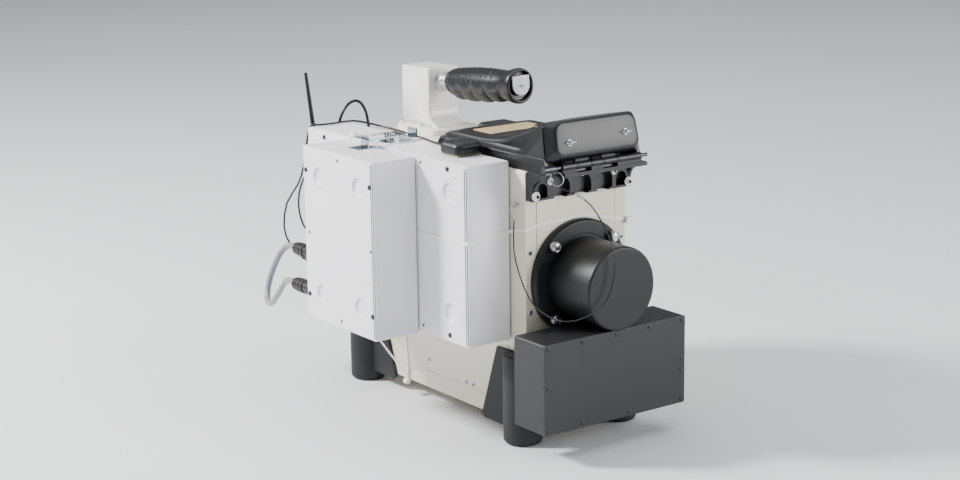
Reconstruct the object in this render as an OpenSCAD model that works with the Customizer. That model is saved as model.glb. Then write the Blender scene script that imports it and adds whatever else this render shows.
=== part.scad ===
// Portable radiation detector: a carried instrument case with a round detector endcap,
// a neutron module below it, two side electronics boxes, a front hood and a carrying handle.
// Millimetres. The front (detector end) faces -Y, up is +Z, and the floor is at z = 0.

/* [Instrument case] */
// Width of the case
case_w = 170; // [164:1:200]
// Length of the case, front face to rear face
case_l = 404; // [390:1:480]
// Height of the case, underside to top
case_h = 349; // [340:1:400]
// Height of the case underside above the floor
case_lift = 22; // [18:1:30]
// Thickness of the case walls
case_wall = 4; // [3:0.5:6]
// Width of the frame strip on each side of the front plate
strip_w = 18.5; // [14:0.5:22]
// Thickness of the front and rear plates
plate_t = 6; // [4:0.5:8]

/* [Detector] */
// Outer radius of the endcap
endcap_r = 56; // [45:0.5:58]
// Length of the endcap in front of its flange
endcap_l = 82; // [60:1:110]
// Width of the flange beyond the endcap
flange_w = 23; // [20:0.5:26]
// Thickness of the flange
flange_t = 10; // [8:0.5:12]
// Height of the detector axis above the floor
axis_z = 219; // [216:1:230]
// Distance of each thumb screw's axis outside the endcap
thumb_out = 14; // [12:0.5:15]
// Radius of a thumb screw head
thumb_r = 6.3; // [5:0.1:7]

/* [Neutron module] */
// Width of the neutron module
neutron_w = 240; // [200:1:280]
// Depth of the neutron module with its lid
neutron_d = 64; // [50:1:80]
// Height of the neutron module
neutron_h = 122; // [90:1:122]
// Gap between the case front and the neutron module
neutron_gap = 20; // [16:1:30]

/* [Side boxes] */
// Depth of the long box, sideways, with its lid
long_d = 67; // [50:1:90]
// Length of the long box along the case
long_l = 392; // [360:1:440]
// Height of the long box
long_h = 243; // [220:1:250]
// Depth of the outer box, sideways, with its lid
outer_d = 67; // [50:1:90]
// Length of the outer box along the case
outer_l = 176; // [160:1:200]
// Height of the outer box
outer_h = 244; // [220:1:250]
// Thickness of the lids of the side boxes
lid_t = 4; // [3:0.5:6]
// Thickness of the foam pads that hold the boxes on
pad_t = 2.5; // [2.2:0.1:4]

/* [Hood] */
// Length of the hood along the case top, behind the case front
hood_l = 205; // [180:1:220]
// Height of the hood at its front edge above the case top
hood_h = 66; // [55:1:75]
// Half width of the raised part of the hood
hood_half = 70; // [60:1:74]
// Angle that the front of the hood leans back
hood_lean = 12; // [8:1:14]
// Thickness of the front cover
cover_t = 12; // [10:0.5:14]
// Radius of the release pin
pin_r = 2.5; // [2:0.1:3]

/* [Handle] */
// Radius of the rubber grip, without its finger bumps
grip_r = 21.5; // [18:0.5:24]
// Length of the rubber grip
grip_l = 160; // [145:1:180]
// Angle that the grip rises towards the front
grip_rise = 5; // [4:0.5:8]
// Width of the handle post
post_w = 52; // [44:1:60]
// Depth of the handle post
post_d = 70; // [60:1:76]
// Height of the grip axis above the case top where it leaves the post
grip_lift = 73; // [68:1:90]

/* [Antennas] */
// Length of the whip antenna
whip_l = 118; // [90:1:124]
// Angle that the whip leans back
whip_lean = 12; // [8:1:16]
// Side of the square positioning antenna
puck_w = 44; // [38:1:48]
// Height of the positioning antenna
puck_h = 17; // [14:0.5:20]

/* [Cables] */
// Diameter of the grey cable between the side boxes
grey_d = 9; // [7:0.5:10]
// Diameter of the black cable that arches over the rear edge
arch_d = 4.5; // [4:0.5:5]
// Diameter of the thin antenna leads
lead_d = 3; // [2.5:0.5:3.5]
// Diameter of the pin lanyard
lanyard_d = 1.8; // [1.4:0.1:2.2]

/* [Hidden] */
$fn = 64;

// Fits and clearances
run_gap = 0.05;
seam = 0.4;
body_gap = 0.4;

// Places that follow from the driving sizes
half_w = case_w / 2;
case_top = case_lift + case_h;
strip_x = half_w - strip_w;
plate_half = strip_x - seam;
axis_x = 2;
cap_front = -(flange_t + endcap_l);
flange_r = endcap_r + flange_w;
thumb_offset = (endcap_r + thumb_out) / sqrt(2);
cap_clear = 1;

// Long box: inner face, outer (lid) face and ends
long_x1 = -(half_w + pad_t);
long_x0 = long_x1 - long_d;
long_y0 = 31.5;
long_y1 = long_y0 + long_l;
long_z0 = case_top + 10.5 - long_h;
long_z1 = long_z0 + long_h;

// Outer box, held on the long box's lid
outer_x1 = long_x0 - pad_t;
outer_x0 = outer_x1 - outer_d;
outer_set_back = 115.5;
outer_y0 = long_y0 + outer_set_back;
outer_y1 = outer_y0 + outer_l;
outer_z0 = long_z1 - 3.5 - outer_h;
outer_z1 = outer_z0 + outer_h;

// Neutron module
neutron_y1 = -neutron_gap;
neutron_y0 = neutron_y1 - neutron_d;
neutron_z0 = axis_z - endcap_r - cap_clear - neutron_h;
neutron_lid_t = 3;

// Pan head screws
pan_r = 3.6;
pan_h = 2;
small_r = 2;
small_h = 0.8;

// Whip antenna joint
whip_x = long_x0 + 18.5;
whip_y = long_y1 + 8.5;
whip_z = long_z1 - 42;
whip_tip_r = 2.4;
whip_root_r = 4;

// The whole object's box without its loose cables, and the shift that centres it on the floor
box_x0 = outer_x0 - pan_h;
box_x1 = neutron_w / 2;
box_y0 = min(cap_front, neutron_y0 - 1.2);
box_y1 = whip_y + whip_l * sin(whip_lean) + whip_tip_r * cos(whip_lean);
origin_shift = [-(box_x0 + box_x1) / 2, -(box_y0 + box_y1) / 2, 0];

// Colours
cream = "#d8d4c8";
white_paint = "#e9e9ee";
charcoal = "#3a3a3e";
satin_black = "#2a2b2e";
rubber_black = "#1b1b1d";
steel = "#b9bcc0";
zinc = "#c9d3dc";
grey_jacket = "#8e8b95";
nylon = "#eceadf";

// ---------------------------------------------------------------- helpers

// Puts a piece in the object's own frame and gives it its colour
module piece(c) {
  color(c)
    translate(origin_shift)
      children();
}

// A cylinder along -Y whose first end is at the given point
module rod_front(r, l) {
  rotate([90, 0, 0])
    cylinder(r = r, h = l);
}

// A cylinder along +Y
module rod_back(r, l) {
  rotate([-90, 0, 0])
    cylinder(r = r, h = l);
}

// A cylinder along +X
module rod_right(r, l) {
  rotate([0, 90, 0])
    cylinder(r = r, h = l);
}

// A block with its four upright edges rounded
module upright_block(size, r) {
  translate([r, 0, 0])
    cube([size[0] - 2 * r, size[1], size[2]]);
  translate([0, r, 0])
    cube([size[0], size[1] - 2 * r, size[2]]);
  for (x = [r, size[0] - r], y = [r, size[1] - r])
    translate([x, y, 0])
      cylinder(r = r, h = size[2], $fn = 32);
}

// A block with its four edges along X rounded: size is [x, y, z]
module long_block(size, r) {
  translate([0, 0, size[2]])
    rotate([0, 90, 0])
      upright_block([size[2], size[1], size[0]], r);
}

// A pan head screw pointing along -X from its head: the head is outside x = 0
module pan_screw_left(head_r, head_h, l) {
  translate([-head_h, 0, 0])
    rod_right(head_r, head_h);
  rod_right(head_r * 0.5, l);
}

// A straight strap between two points, w wide along z or across, t thick
module strap_upright(a, b, w, t) {
  d = b - a;
  flat = norm([d[0], d[1]]);
  translate(a)
    rotate([0, -atan2(d[2], flat), atan2(d[1], d[0])])
      translate([-t / 2, -t / 2, -w / 2])
        cube([norm(d) + t, t, w]);
}

// A straight strap in a plane across Y, w wide along Y, t thick
module strap_across(a, b, w, t) {
  d = b - a;
  flat = norm([d[0], d[2]]);
  translate(a)
    rotate([0, -atan2(d[2], d[0]), 0])
      rotate([0, 0, atan2(d[1], flat)])
        translate([-t / 2, -w / 2, -t / 2])
          cube([norm(d) + t, w, t]);
}

// A point on the smooth curve through p, between point i and point i + 1
function spline_at(p, i, t) =
  let (n = len(p) - 1,
       a = p[max(i - 1, 0)],
       b = p[i],
       c = p[min(i + 1, n)],
       d = p[min(i + 2, n)])
  0.5 * ((2 * b) + (c - a) * t + (2 * a - 5 * b + 4 * c - d) * t * t
         + (3 * b - a - 3 * c + d) * t * t * t);

// The smooth curve through p, with k steps between two points
function spline(p, k) =
  concat([for (i = [0 : len(p) - 2], s = [0 : k - 1]) spline_at(p, i, s / k)], [p[len(p) - 1]]);

function unit(v) = v / norm(v);

// Sideways directions along a curve, each turned as little as possible from the last
function tangent_at(p, i) = unit(p[min(i + 1, len(p) - 1)] - p[max(i - 1, 0)]);
function carried(p, i, last) =
  let (t = tangent_at(p, i), s = last - (last * t) * t)
  i == len(p) - 1 ? [unit(s)] : concat([unit(s)], carried(p, i + 1, unit(s)));

// A round tube of diameter d swept along the points p
module sweep_tube(p, d, sides) {
  t0 = tangent_at(p, 0);
  first = abs(t0[2]) > 0.8 ? cross(t0, [1, 0, 0]) : cross(t0, [0, 0, 1]);
  side = carried(p, 0, unit(first));
  rings = [for (i = [0 : len(p) - 1], j = [0 : sides - 1])
    let (t = tangent_at(p, i), u = side[i], v = cross(t, u), a = 360 * j / sides)
    p[i] + d / 2 * (cos(a) * u + sin(a) * v)];
  n = len(p);
  walls = [for (i = [0 : n - 2], j = [0 : sides - 1])
    [i * sides + j, i * sides + (j + 1) % sides,
     (i + 1) * sides + (j + 1) % sides, (i + 1) * sides + j]];
  caps = [[for (j = [sides - 1 : -1 : 0]) j], [for (j = [0 : sides - 1]) (n - 1) * sides + j]];
  polyhedron(points = rings, faces = concat(walls, caps), convexity = 6);
}

// ---------------------------------------------------------------- instrument case

panel_y0 = 40;
panel_y1 = 233;
panel_z0 = 48;
panel_z1 = 318;
panel_t = 2;
window_rim = 9;

// The cut for one flush side panel: a shallow seat and a window inside it
module panel_seat(side) {
  x_out = side < 0 ? -half_w - 1 : half_w - panel_t;
  translate([x_out, panel_y0, panel_z0])
    cube([panel_t + 1, panel_y1 - panel_y0, panel_z1 - panel_z0]);
  translate([side < 0 ? -half_w - 1 : half_w - case_wall - 1,
             panel_y0 + window_rim, panel_z0 + window_rim])
    cube([case_wall + 2, panel_y1 - panel_y0 - 2 * window_rim,
          panel_z1 - panel_z0 - 2 * window_rim]);
}

// The cut for an end plate: a flush seat and a window inside it, starting at y0
module plate_seat(y_seat, y_window) {
  translate([-strip_x, y_seat, case_lift + 8])
    cube([2 * strip_x, plate_t, case_h - 16]);
  translate([-strip_x + 7, y_window, case_lift + 15])
    cube([2 * strip_x - 14, 8, case_h - 30]);
}

module case_shell() {
  piece(cream) difference() {
    translate([-half_w, 0, case_lift])
      long_edge_block([case_w, case_l, case_h], 4);
    translate([-half_w + case_wall, 12, case_lift + case_wall])
      cube([case_w - 2 * case_wall, case_l - 24, case_h - 2 * case_wall]);
    plate_seat(0, plate_t - 0.01);
    plate_seat(case_l - plate_t, case_l - 13);
    panel_seat(-1);
    panel_seat(1);
  }
}

// A block with its four edges along Y rounded
module long_edge_block(size, r) {
  translate([0, size[1], 0])
    rotate([90, 0, 0])
      upright_block([size[0], size[2], size[1]], r);
}

module front_plate() {
  piece(cream) difference() {
    translate([-plate_half, 0, case_lift + 8 + seam])
      cube([2 * plate_half, plate_t, case_h - 16 - 2 * seam]);
    translate([axis_x, plate_t + 1, axis_z])
      rod_front(46, plate_t + 2);
    thumb_places()
      translate([0, plate_t + 1, 0])
        rod_front(3 + run_gap, plate_t + 2);
  }
}

module side_panels() {
  piece(cream) for (side = [-1, 1])
    translate([side < 0 ? -half_w : half_w - panel_t, panel_y0 + seam, panel_z0 + seam])
      cube([panel_t, panel_y1 - panel_y0 - 2 * seam, panel_z1 - panel_z0 - 2 * seam]);
}

module rear_panel() {
  piece(cream) difference() {
    translate([-plate_half, case_l - plate_t, case_lift + 8 + seam])
      cube([2 * plate_half, plate_t, case_h - 16 - 2 * seam]);
    for (i = [0 : 6])
      translate([-35, case_l - plate_t - 1, 110 + 9 * i])
        cube([70, plate_t + 2, 4.5]);
  }
}

// One low screw head lying on a face that looks along -Y
module face_screw(r) {
  rod_front(r, 1);
  rod_back(r * 0.5, 4);
}

module case_screws() {
  flange_reach = sqrt(max(pow(flange_r, 2) - pow(half_w - 9.5, 2), 0));
  piece(steel) {
    for (side = [-1, 1], z = [axis_z - flange_reach - 14.75, axis_z + flange_reach + 19.75])
      translate([side * (half_w - 7.5), 0, z])
        face_screw(2.6);
    for (side = [-1, 1], z = [150, 240, 340])
      translate([side * (half_w - 9), case_l, z])
        mirror([0, 1, 0])
          face_screw(2.6);
    for (side = [-1, 1], p = [[227, 65], [137, 54], [120, 54], [227, 305], [46, 305]])
      translate([side * half_w, p[0], p[1]])
        rotate([0, 0, side < 0 ? 0 : 180])
          pan_screw_left(2.6, small_h, panel_t);
  }
}

bumper_r = 26.5;
bumper_x = half_w - 3;
bumper_y = 12.5;
bumper_t = 5;
foot_round = 6;

// Rounded foot profile: a column with a rounded lower edge
module foot_column(h) {
  rotate_extrude()
    union() {
      translate([0, foot_round])
        square([bumper_r, h - foot_round]);
      square([bumper_r - foot_round, foot_round + 1]);
      intersection() {
        translate([bumper_r - foot_round, foot_round])
          circle(r = foot_round);
        square([bumper_r, foot_round + 1]);
      }
    }
}

// One corner bumper on the -X side: column, side wing, and the case cut out of it
module bumper(column_y, column_h, wing) {
  difference() {
    union() {
      translate([-bumper_x, column_y, 0])
        foot_column(column_h);
      translate([-half_w, 0, 0])
        rotate([90, 0, -90])
          linear_extrude(height = bumper_t)
            polygon(wing);
    }
    translate([-half_w, 0, case_lift])
      cube([case_w, case_l, case_h]);
  }
}

module bumpers_front() {
  piece(rubber_black) for (side = [0, 1])
    mirror([side, 0, 0])
      bumper(bumper_y, 124, [[-8, case_lift - 6], [-8, 124], [-60, 124], [-95.5, case_lift], [-90, case_lift - 6]]);
}

module bumpers_rear() {
  rear_y = case_l - bumper_y;
  piece(rubber_black) for (side = [0, 1])
    mirror([side, 0, 0])
      bumper(rear_y, 124, [[-rear_y, case_lift - 6], [-rear_y, 124], [-(case_l - 48), 124],
                           [-(case_l - 96.5), case_lift], [-(case_l - 91), case_lift - 6]]);
}

// ---------------------------------------------------------------- detector

module thumb_places() {
  for (sx = [-1, 1], sz = [-1, 1])
    translate([axis_x + sx * thumb_offset, 0, axis_z + sz * thumb_offset])
      children();
}

module flange() {
  piece(satin_black) difference() {
    translate([axis_x, 0, axis_z])
      rotate([90, 0, 0])
        rotate_extrude()
          polygon([[47, 0], [flange_r, 0], [flange_r, flange_t - 3], [flange_r - 3, flange_t], [47, flange_t]]);
    thumb_places()
      translate([0, 1, 0])
        rod_front(3 + run_gap, flange_t + 2);
  }
}

cap_wall = 3;

module endcap() {
  edge = 4;
  piece(satin_black)
    translate([axis_x, -flange_t, axis_z])
      rotate([90, 0, 0])
        rotate_extrude()
          difference() {
            union() {
              square([endcap_r, endcap_l - edge]);
              square([endcap_r - edge, endcap_l]);
              translate([endcap_r - edge, endcap_l - edge])
                circle(r = edge);
            }
            translate([-1, -1])
              square([endcap_r - cap_wall + 1, endcap_l - cap_wall + 1]);
            translate([-2 * endcap_r, -1])
              square([2 * endcap_r, endcap_l + 2]);
          }
}

// A captive thumb screw: knurled head in front of the flange and a shank into the plate
module thumb_screw(sx, sz) {
  piece(steel)
    translate([axis_x + sx * thumb_offset, 0, axis_z + sz * thumb_offset]) {
      translate([0, -flange_t - 0.05, 0])
        rotate([90, 0, 0])
          rotate_extrude()
            polygon([[0, 0], [thumb_r - 0.6, 0], [thumb_r, 0.6], [thumb_r, 9.4],
                     [thumb_r - 0.8, 10.2], [0, 10.2]]);
      translate([0, plate_t - 1, 0])
        rod_front(3, plate_t - 1 + flange_t + 1);
    }
}

module thumb_screw_1() { thumb_screw(-1, 1); }
module thumb_screw_2() { thumb_screw(1, 1); }
module thumb_screw_3() { thumb_screw(-1, -1); }
module thumb_screw_4() { thumb_screw(1, -1); }

crystal_r = 32;
crystal_l = 50;
cup_t = 2;

// Crystal, inside its cup near the front of the endcap
module crystal() {
  piece(steel)
    translate([axis_x, cap_front + cap_wall + 8, axis_z])
      rod_back(crystal_r, crystal_l);
}

// Vacuum unit: crystal cup, cold finger and the cryostat drum behind the front plate
module cryostat() {
  y_cup = cap_front + cap_wall + 8;
  piece(steel) {
    difference() {
      translate([axis_x, y_cup, axis_z])
        rod_back(crystal_r + cup_t, crystal_l + 4);
      translate([axis_x, y_cup - 1, axis_z])
        rod_back(crystal_r, crystal_l + 1);
    }
    translate([axis_x, y_cup + crystal_l + 3, axis_z])
      rod_back(7, 40);
    translate([axis_x, -flange_t, axis_z])
      rod_back(44, 70 + flange_t);
    translate([axis_x, plate_t, axis_z])
      rod_back(56, 8);
  }
}

module cooler() {
  piece("#8a8d91")
    translate([axis_x, 70, axis_z]) {
      rod_back(36, 120);
      for (i = [0 : 6])
        translate([0, 12 + 14 * i, 0])
          rod_back(48, 5);
    }
}

module battery() {
  piece("#30343a")
    translate([-55, 60, case_lift + case_wall])
      upright_block([110, 200, 68], 4);
}

// Circuit boards: one in the case and one in each side box
module circuit_boards() {
  piece("#2f6b45") {
    translate([-half_w + case_wall, 300, case_lift + case_wall])
      cube([case_w - 2 * case_wall, 2, 270]);
    translate([long_x1 - 14, long_y0 + 4, long_z0 + 4])
      cube([2, long_l - 8, long_h - 8]);
    translate([outer_x1 - 14, outer_y0 + 4, outer_z0 + 4])
      cube([2, outer_l - 8, outer_h - 8]);
  }
}

// ---------------------------------------------------------------- neutron module

module neutron_box() {
  piece(charcoal) difference() {
    translate([-neutron_w / 2, neutron_y0 + neutron_lid_t, neutron_z0])
      long_edge_block([neutron_w, neutron_d - neutron_lid_t, neutron_h], 3);
    translate([-neutron_w / 2 + 3, neutron_y0 - 1, neutron_z0 + 3])
      cube([neutron_w - 6, neutron_d - 3 + 1, neutron_h - 6]);
  }
}

module neutron_lid() {
  piece(charcoal)
    translate([-neutron_w / 2, neutron_y0, neutron_z0])
      long_edge_block([neutron_w, neutron_lid_t, neutron_h], 3);
}

neutron_edge = 6;

// Neutron module screws: five along the top, four along the bottom, and three up the sides
module neutron_screw_row() {
  low = neutron_z0 + neutron_edge;
  high = neutron_z0 + neutron_h - neutron_edge;
  side = neutron_w / 2 - neutron_edge;
  places = concat([for (i = [-2 : 2]) [i * side / 2, high]],
                  [[-side, low], [-side / 2, low], [side * 0.2, low], [side, low]],
                  [[-side, low + 57], [side, low + 57], [side, low + 41]]);
  for (p = places)
    translate([p[0], neutron_y0, p[1]]) {
      rod_front(2.6, 1.2);
      rod_back(1.4, neutron_lid_t);
    }
}

tube_r = 12.7;

// Plastic moderator block that fills the module, with two bores for the counter tubes
module moderator() {
  piece("#f0efe8") difference() {
    translate([-neutron_w / 2 + 4, neutron_y0 + neutron_lid_t + 1, neutron_z0 + 3])
      cube([neutron_w - 8, neutron_d - 3 - neutron_lid_t - 1, neutron_h - 6]);
    for (z = [0.3, 0.7])
      translate([-neutron_w / 2, neutron_y0 + neutron_d / 2, neutron_z0 + neutron_h * z])
        rod_right(tube_r + 0.2, neutron_w);
  }
}

module neutron_tubes() {
  piece(steel) for (z = [0.3, 0.7])
    translate([-neutron_w / 2 + 8, neutron_y0 + neutron_d / 2, neutron_z0 + neutron_h * z])
      rod_right(tube_r, neutron_w - 16);
}

// Bracket block between the case front and the neutron module
spacer_clear = 8;

module neutron_spacer() {
  piece(charcoal)
    translate([-48, neutron_y1, case_lift + 26])
      long_edge_block([96, neutron_gap, axis_z - flange_r - spacer_clear - case_lift - 26], 3);
}

// ---------------------------------------------------------------- side boxes

// Foam mounting pads between the case, the long box and the outer box, and under the puck
module foam_pads() {
  piece("#b59f74") {
    for (y = [60, 330])
      translate([long_x1, y, long_z0 + 30])
        cube([pad_t, 50, 150]);
    for (y = [outer_y0 + 14, outer_y1 - 54], z = [outer_z0 + 30, outer_z0 + 160])
      translate([outer_x1, y, z])
        cube([pad_t, 32, 60]);
    translate([puck_x0 + 3, puck_y0 + 3, long_z1])
      cube([puck_w - 6, puck_w - 6, puck_pad_t]);
  }
}

// A box open on its -X side, walls 3 mm
module open_box(x0, x1, y0, y1, z0, z1) {
  difference() {
    translate([x0 + lid_t + 0.3, y0, z0])
      long_block([x1 - x0 - lid_t - 0.3, y1 - y0, z1 - z0], 3);
    translate([x0 - 1, y0 + 3, z0 + 3])
      cube([x1 - x0 - 3 + 1, y1 - y0 - 6, z1 - z0 - 6]);
  }
}

recess_r = 12;
recess_t = 1.2;

// A lid plate with shallow round recesses, and a rim that steps into the box
module box_lid(x0, y0, y1, z0, z1, recesses) {
  difference() {
    union() {
      translate([x0, y0, z0])
        long_block([lid_t, y1 - y0, z1 - z0], 3);
      translate([x0 + lid_t - 0.5, y0 + 3.5, z0 + 3.5])
        cube([3, y1 - y0 - 7, z1 - z0 - 7]);
    }
    for (p = recesses)
      translate([x0 - 1, p[0], p[1]])
        rod_right(recess_r, recess_t + 1);
  }
}

long_recess = [for (y = [long_y0 + 42, long_y1 - 42], z = [long_z0 + 40, long_z1 - 40]) [y, z]];
outer_recess = [for (y = [outer_y0 + 39, outer_y1 - 39], z = [outer_z0 + 39, outer_z1 - 39]) [y, z]];

module long_box() {
  piece(white_paint)
    open_box(long_x0, long_x1, long_y0, long_y1, long_z0, long_z1);
}

module long_lid() {
  piece(white_paint)
    box_lid(long_x0, long_y0, long_y1, long_z0, long_z1, long_recess);
}

module outer_box() {
  piece(white_paint)
    open_box(outer_x0, outer_x1, outer_y0, outer_y1, outer_z0, outer_z1);
}

module outer_lid() {
  piece(white_paint)
    box_lid(outer_x0, outer_y0, outer_y1, outer_z0, outer_z1, outer_recess);
}

// Lid screws: pan heads at the corners of the side boxes' lids, small ones along their edges,
// and the neutron module's
module lid_screws() {
  piece("#4a4c50") {
    neutron_screw_row();
    for (y = [long_y0 + 44, long_y1 - 44], z = [long_z0 + 9, long_z1 - 9])
      translate([long_x0, y, z])
        pan_screw_left(pan_r, pan_h, lid_t);
    for (y = [long_y0 + 106, long_y1 - 106], z = [long_z0 + 9, long_z1 - 9])
      translate([long_x0, y, z])
        pan_screw_left(small_r, small_h, lid_t);
    for (y = [outer_y0 + 9, outer_y1 - 6], z = [outer_z0 + 33, outer_z1 - 34])
      translate([outer_x0, y, z])
        pan_screw_left(pan_r, pan_h, lid_t);
    for (p = [[outer_y0 + 10, 0.5], [outer_y1 - 10, 0.5], [outer_y0 + outer_l / 2, 0.04],
              [outer_y0 + outer_l / 2, 0.96]])
      translate([outer_x0, p[0], outer_z0 + outer_h * p[1]])
        pan_screw_left(small_r, small_h, lid_t);
  }
}

// ---------------------------------------------------------------- hood

bracket_d = 12.6;
bracket_h = 38;
shelf_t = 5;
shelf_y = -46;
hood_z = case_top;
pin_y = -41;
pin_z = case_top + 8.5;
knuckle_r = 5;
knuckle_end = half_w - 10;
cove_r = 15.5;

// Scalloped bracket on the front: arched niches, a shelf, end gussets and the fixed knuckles
module hood_bracket() {
  piece(satin_black) difference() {
    union() {
      difference() {
        translate([-half_w + 1, -bracket_d, case_top - bracket_h])
          cube([case_w - 2, bracket_d, bracket_h]);
        for (i = [-1 : 1])
          arch_niche(36 * i, cove_r);
        for (side = [-1, 1])
          arch_niche(side * 67, 9);
      }
      translate([-half_w + 1, shelf_y, case_top - shelf_t])
        cube([case_w - 2, -shelf_y, shelf_t]);
      for (x = [-half_w + 1, half_w - 6])
        end_gusset(x);
      for (x = [[-58, 24], [-10, 20], [34, knuckle_end - 34]])
        fixed_knuckle(x[0], x[1]);
    }
    translate([-half_w - 1, shelf_y - 10, case_top - shelf_t - 30])
      cube([eye_x + ring_r + half_w + 1, pin_y - shelf_y + 10 + ring_r + 1.5, shelf_t + 32]);
    translate([-half_w, pin_y, pin_z])
      rod_right(pin_r + run_gap, case_w);
    for (p = bracket_points)
      translate([p[0], 1, p[1]])
        rod_front(2.2, bracket_d + 2);
  }
}

// An arch-topped niche in the front of the bracket
module arch_niche(x, r) {
  translate([x, -3, case_top - bracket_h + 13])
    rod_front(r, bracket_d);
  translate([x - r, -3 - bracket_d, case_top - bracket_h + 3])
    cube([2 * r, bracket_d, 10]);
}

// A quarter-round gusset under one end of the shelf
module end_gusset(x) {
  run = -shelf_y - bracket_d;
  drop = 30;
  translate([x, -bracket_d, case_top - shelf_t - drop])
    difference() {
      translate([0, -run, 0])
        cube([5, run, drop]);
      translate([-1, -run, 0])
        gusset_hollow(run, drop);
    }
}

// The hollow of the gusset: a round cut as wide as its drop
module gusset_hollow(run, drop) {
  rod_right(min(run, drop) - 1, 7);
}

module fixed_knuckle(x, l) {
  translate([x, pin_y, pin_z])
    rod_right(knuckle_r, l);
  translate([x, pin_y - 3.5, case_top - 1])
    cube([l, 7, pin_z - case_top + 1]);
}

// Screw places on the bracket: two large at the ends and three small
bracket_points = [[-half_w + 7, case_top - 31], [half_w - 7, case_top - 31], [-54, case_top - 14],
                  [54, case_top - 14], [0, case_top - 9]];

// A socket head screw with a washer, its head towards +Z from the washer's seat at z = 0
module socket_screw(head_r, shank_r, l) {
  difference() {
    union() {
      cylinder(r = head_r, h = 1.4);
      cylinder(r = head_r * 0.6, h = 4);
      translate([0, 0, -l])
        cylinder(r = shank_r, h = l + 1);
    }
    translate([0, 0, 2])
      cylinder(r = head_r * 0.3, h = 3, $fn = 6);
  }
}

module socket_screws() {
  piece(steel) {
    for (i = [0 : 4])
      translate([bracket_points[i][0], -bracket_d, bracket_points[i][1]])
        rotate([90, 0, 0])
          socket_screw(i < 2 ? 5.4 : 3.8, 2.15, bracket_d);
    for (p = handle_points)
      translate([p[0], p[1], case_top + base_h])
        socket_screw(5, 2.5, base_h);
  }
}

// The hood's front plane leans back: this puts children in its own frame, with the plane at y = 0
module lean_frame() {
  translate([0, -38, hood_z])
    rotate([-hood_lean, 0, 0])
      children();
}

flange_h = 20;
deck_z = 28;

// Side outline of the raised part of the hood: y, then height above the case top
function hood_outline(drop) = [
  [hood_l, 0], [hood_l, deck_z - 14 - drop], [hood_l - 8, deck_z - 5 - drop],
  [hood_l - 20, deck_z - drop], [100, deck_z - drop], [60, deck_z + 7 - drop], [25, deck_z + 19 - drop],
  [-5, hood_h - 9 - drop], [-26, hood_h - drop], [-34, hood_h - drop], [-60, hood_h - drop], [-60, 0]];

module hood_shell() {
  piece(satin_black) difference() {
    union() {
      translate([-half_w, -60, hood_z])
        cube([case_w, 60 + hood_l - 20, flange_h]);
      translate([-hood_half, 0, hood_z])
        rotate([90, 0, 90])
          linear_extrude(height = 2 * hood_half)
            polygon(hood_outline(0));
    }
    translate([-hood_half + 3, 0, hood_z - 0.5])
      rotate([90, 0, 90])
        linear_extrude(height = 2 * hood_half - 6)
          polygon(hood_outline(3));
    translate([-half_w + 3, -60, hood_z - 1])
      cube([case_w - 6, 60 + hood_l - 26, flange_h - 2]);
    lean_frame()
      translate([-150, -100, -30])
        cube([300, 100, 200]);
    translate([-case_w, pin_y - 60, hood_z - 1])
      cube([2 * case_w, 60 + knuckle_r + 5, pin_z - hood_z + knuckle_r + body_gap + 1]);
    translate([-panel_half, panel_front, hood_z + deck_z - 2.6])
      cube([2 * panel_half, panel_back - panel_front, 20]);
  }
}

panel_half = 48;
panel_back = hood_l - 29;
panel_front = panel_back - 68;

// Display panel let into the deck of the hood
module display_panel() {
  piece("#c9b184")
    translate([-panel_half + 0.3, panel_front + 0.3, hood_z + deck_z - 2.6])
      cube([2 * panel_half - 0.6, panel_back - panel_front - 0.6, 1.6]);
}

// Low round-topped cover on the case top beside the rear of the hood
module dome() {
  piece(satin_black)
    translate([36, hood_l + 2, case_top])
      intersection() {
        translate([22, 30, -32])
          sphere(r = 50);
        translate([-8, 0.5, 0])
          cube([54, 60, 30]);
      }
}

cover_z0 = 17;
cover_z1 = 64;
tab_places = [-33.5, 10.5];
tab_w = 23;

// Front cover: a shallow pan in front of the leaning face, with two hinge tabs on the pin
module hood_cover() {
  piece(satin_black) difference() {
    union() {
      lean_frame()
        hull() {
          translate([-hood_half + 2, -3, cover_z0])
            cube([2 * hood_half - 4, 3 - body_gap, cover_z1 - cover_z0]);
          translate([-hood_half + 16, -cover_t, cover_z0 + 8])
            cube([2 * hood_half - 32, 1, cover_z1 - cover_z0 - 16]);
        }
      for (x = tab_places) {
        translate([x, pin_y, pin_z])
          rod_right(knuckle_r, tab_w);
        translate([x, pin_y - 2.5, pin_z])
          cube([tab_w, 5, 13]);
      }
    }
    lean_frame()
      hull() {
        translate([-hood_half + 6, -2, cover_z0 + 4])
          cube([2 * hood_half - 12, 4, cover_z1 - cover_z0 - 8]);
        translate([-hood_half + 19, -cover_t + 3, cover_z0 + 11])
          cube([2 * hood_half - 38, 1, cover_z1 - cover_z0 - 22]);
      }
    translate([-half_w, pin_y, pin_z])
      rod_right(pin_r + run_gap, case_w);
    stud_frame(-1)
      rod_front(2 + run_gap, 30);
    stud_frame(1)
      rod_front(2 + run_gap, 30);
  }
}

stud_x = 47;
stud_z = 40;

module stud_frame(side) {
  lean_frame()
    translate([side * stud_x, 5, stud_z + side * 2])
      children();
}

// A quarter-turn stud: ball head with a cross wire, and a shank through the cover
module stud(side) {
  piece(steel)
    stud_frame(side) {
      translate([0, -5 - body_gap - 2, 0])
        rod_front(2, cover_t + 1);
      translate([0, -5 - cover_t - 0.05, 0])
        rod_front(4, 1.4);
      translate([0, -5 - cover_t - 4, 0])
        sphere(r = 3.4, $fn = 32);
      translate([-8, -5 - cover_t - 4, 0])
        rod_right(0.6, 16);
    }
}

module stud_left() { stud(-1); }
module stud_right() { stud(1); }

eye_x = -64.5;
eye_z = pin_z - 4.5;
ring_r = 9;
ring_wire = 0.9;
ring_turn = 30;

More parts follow.
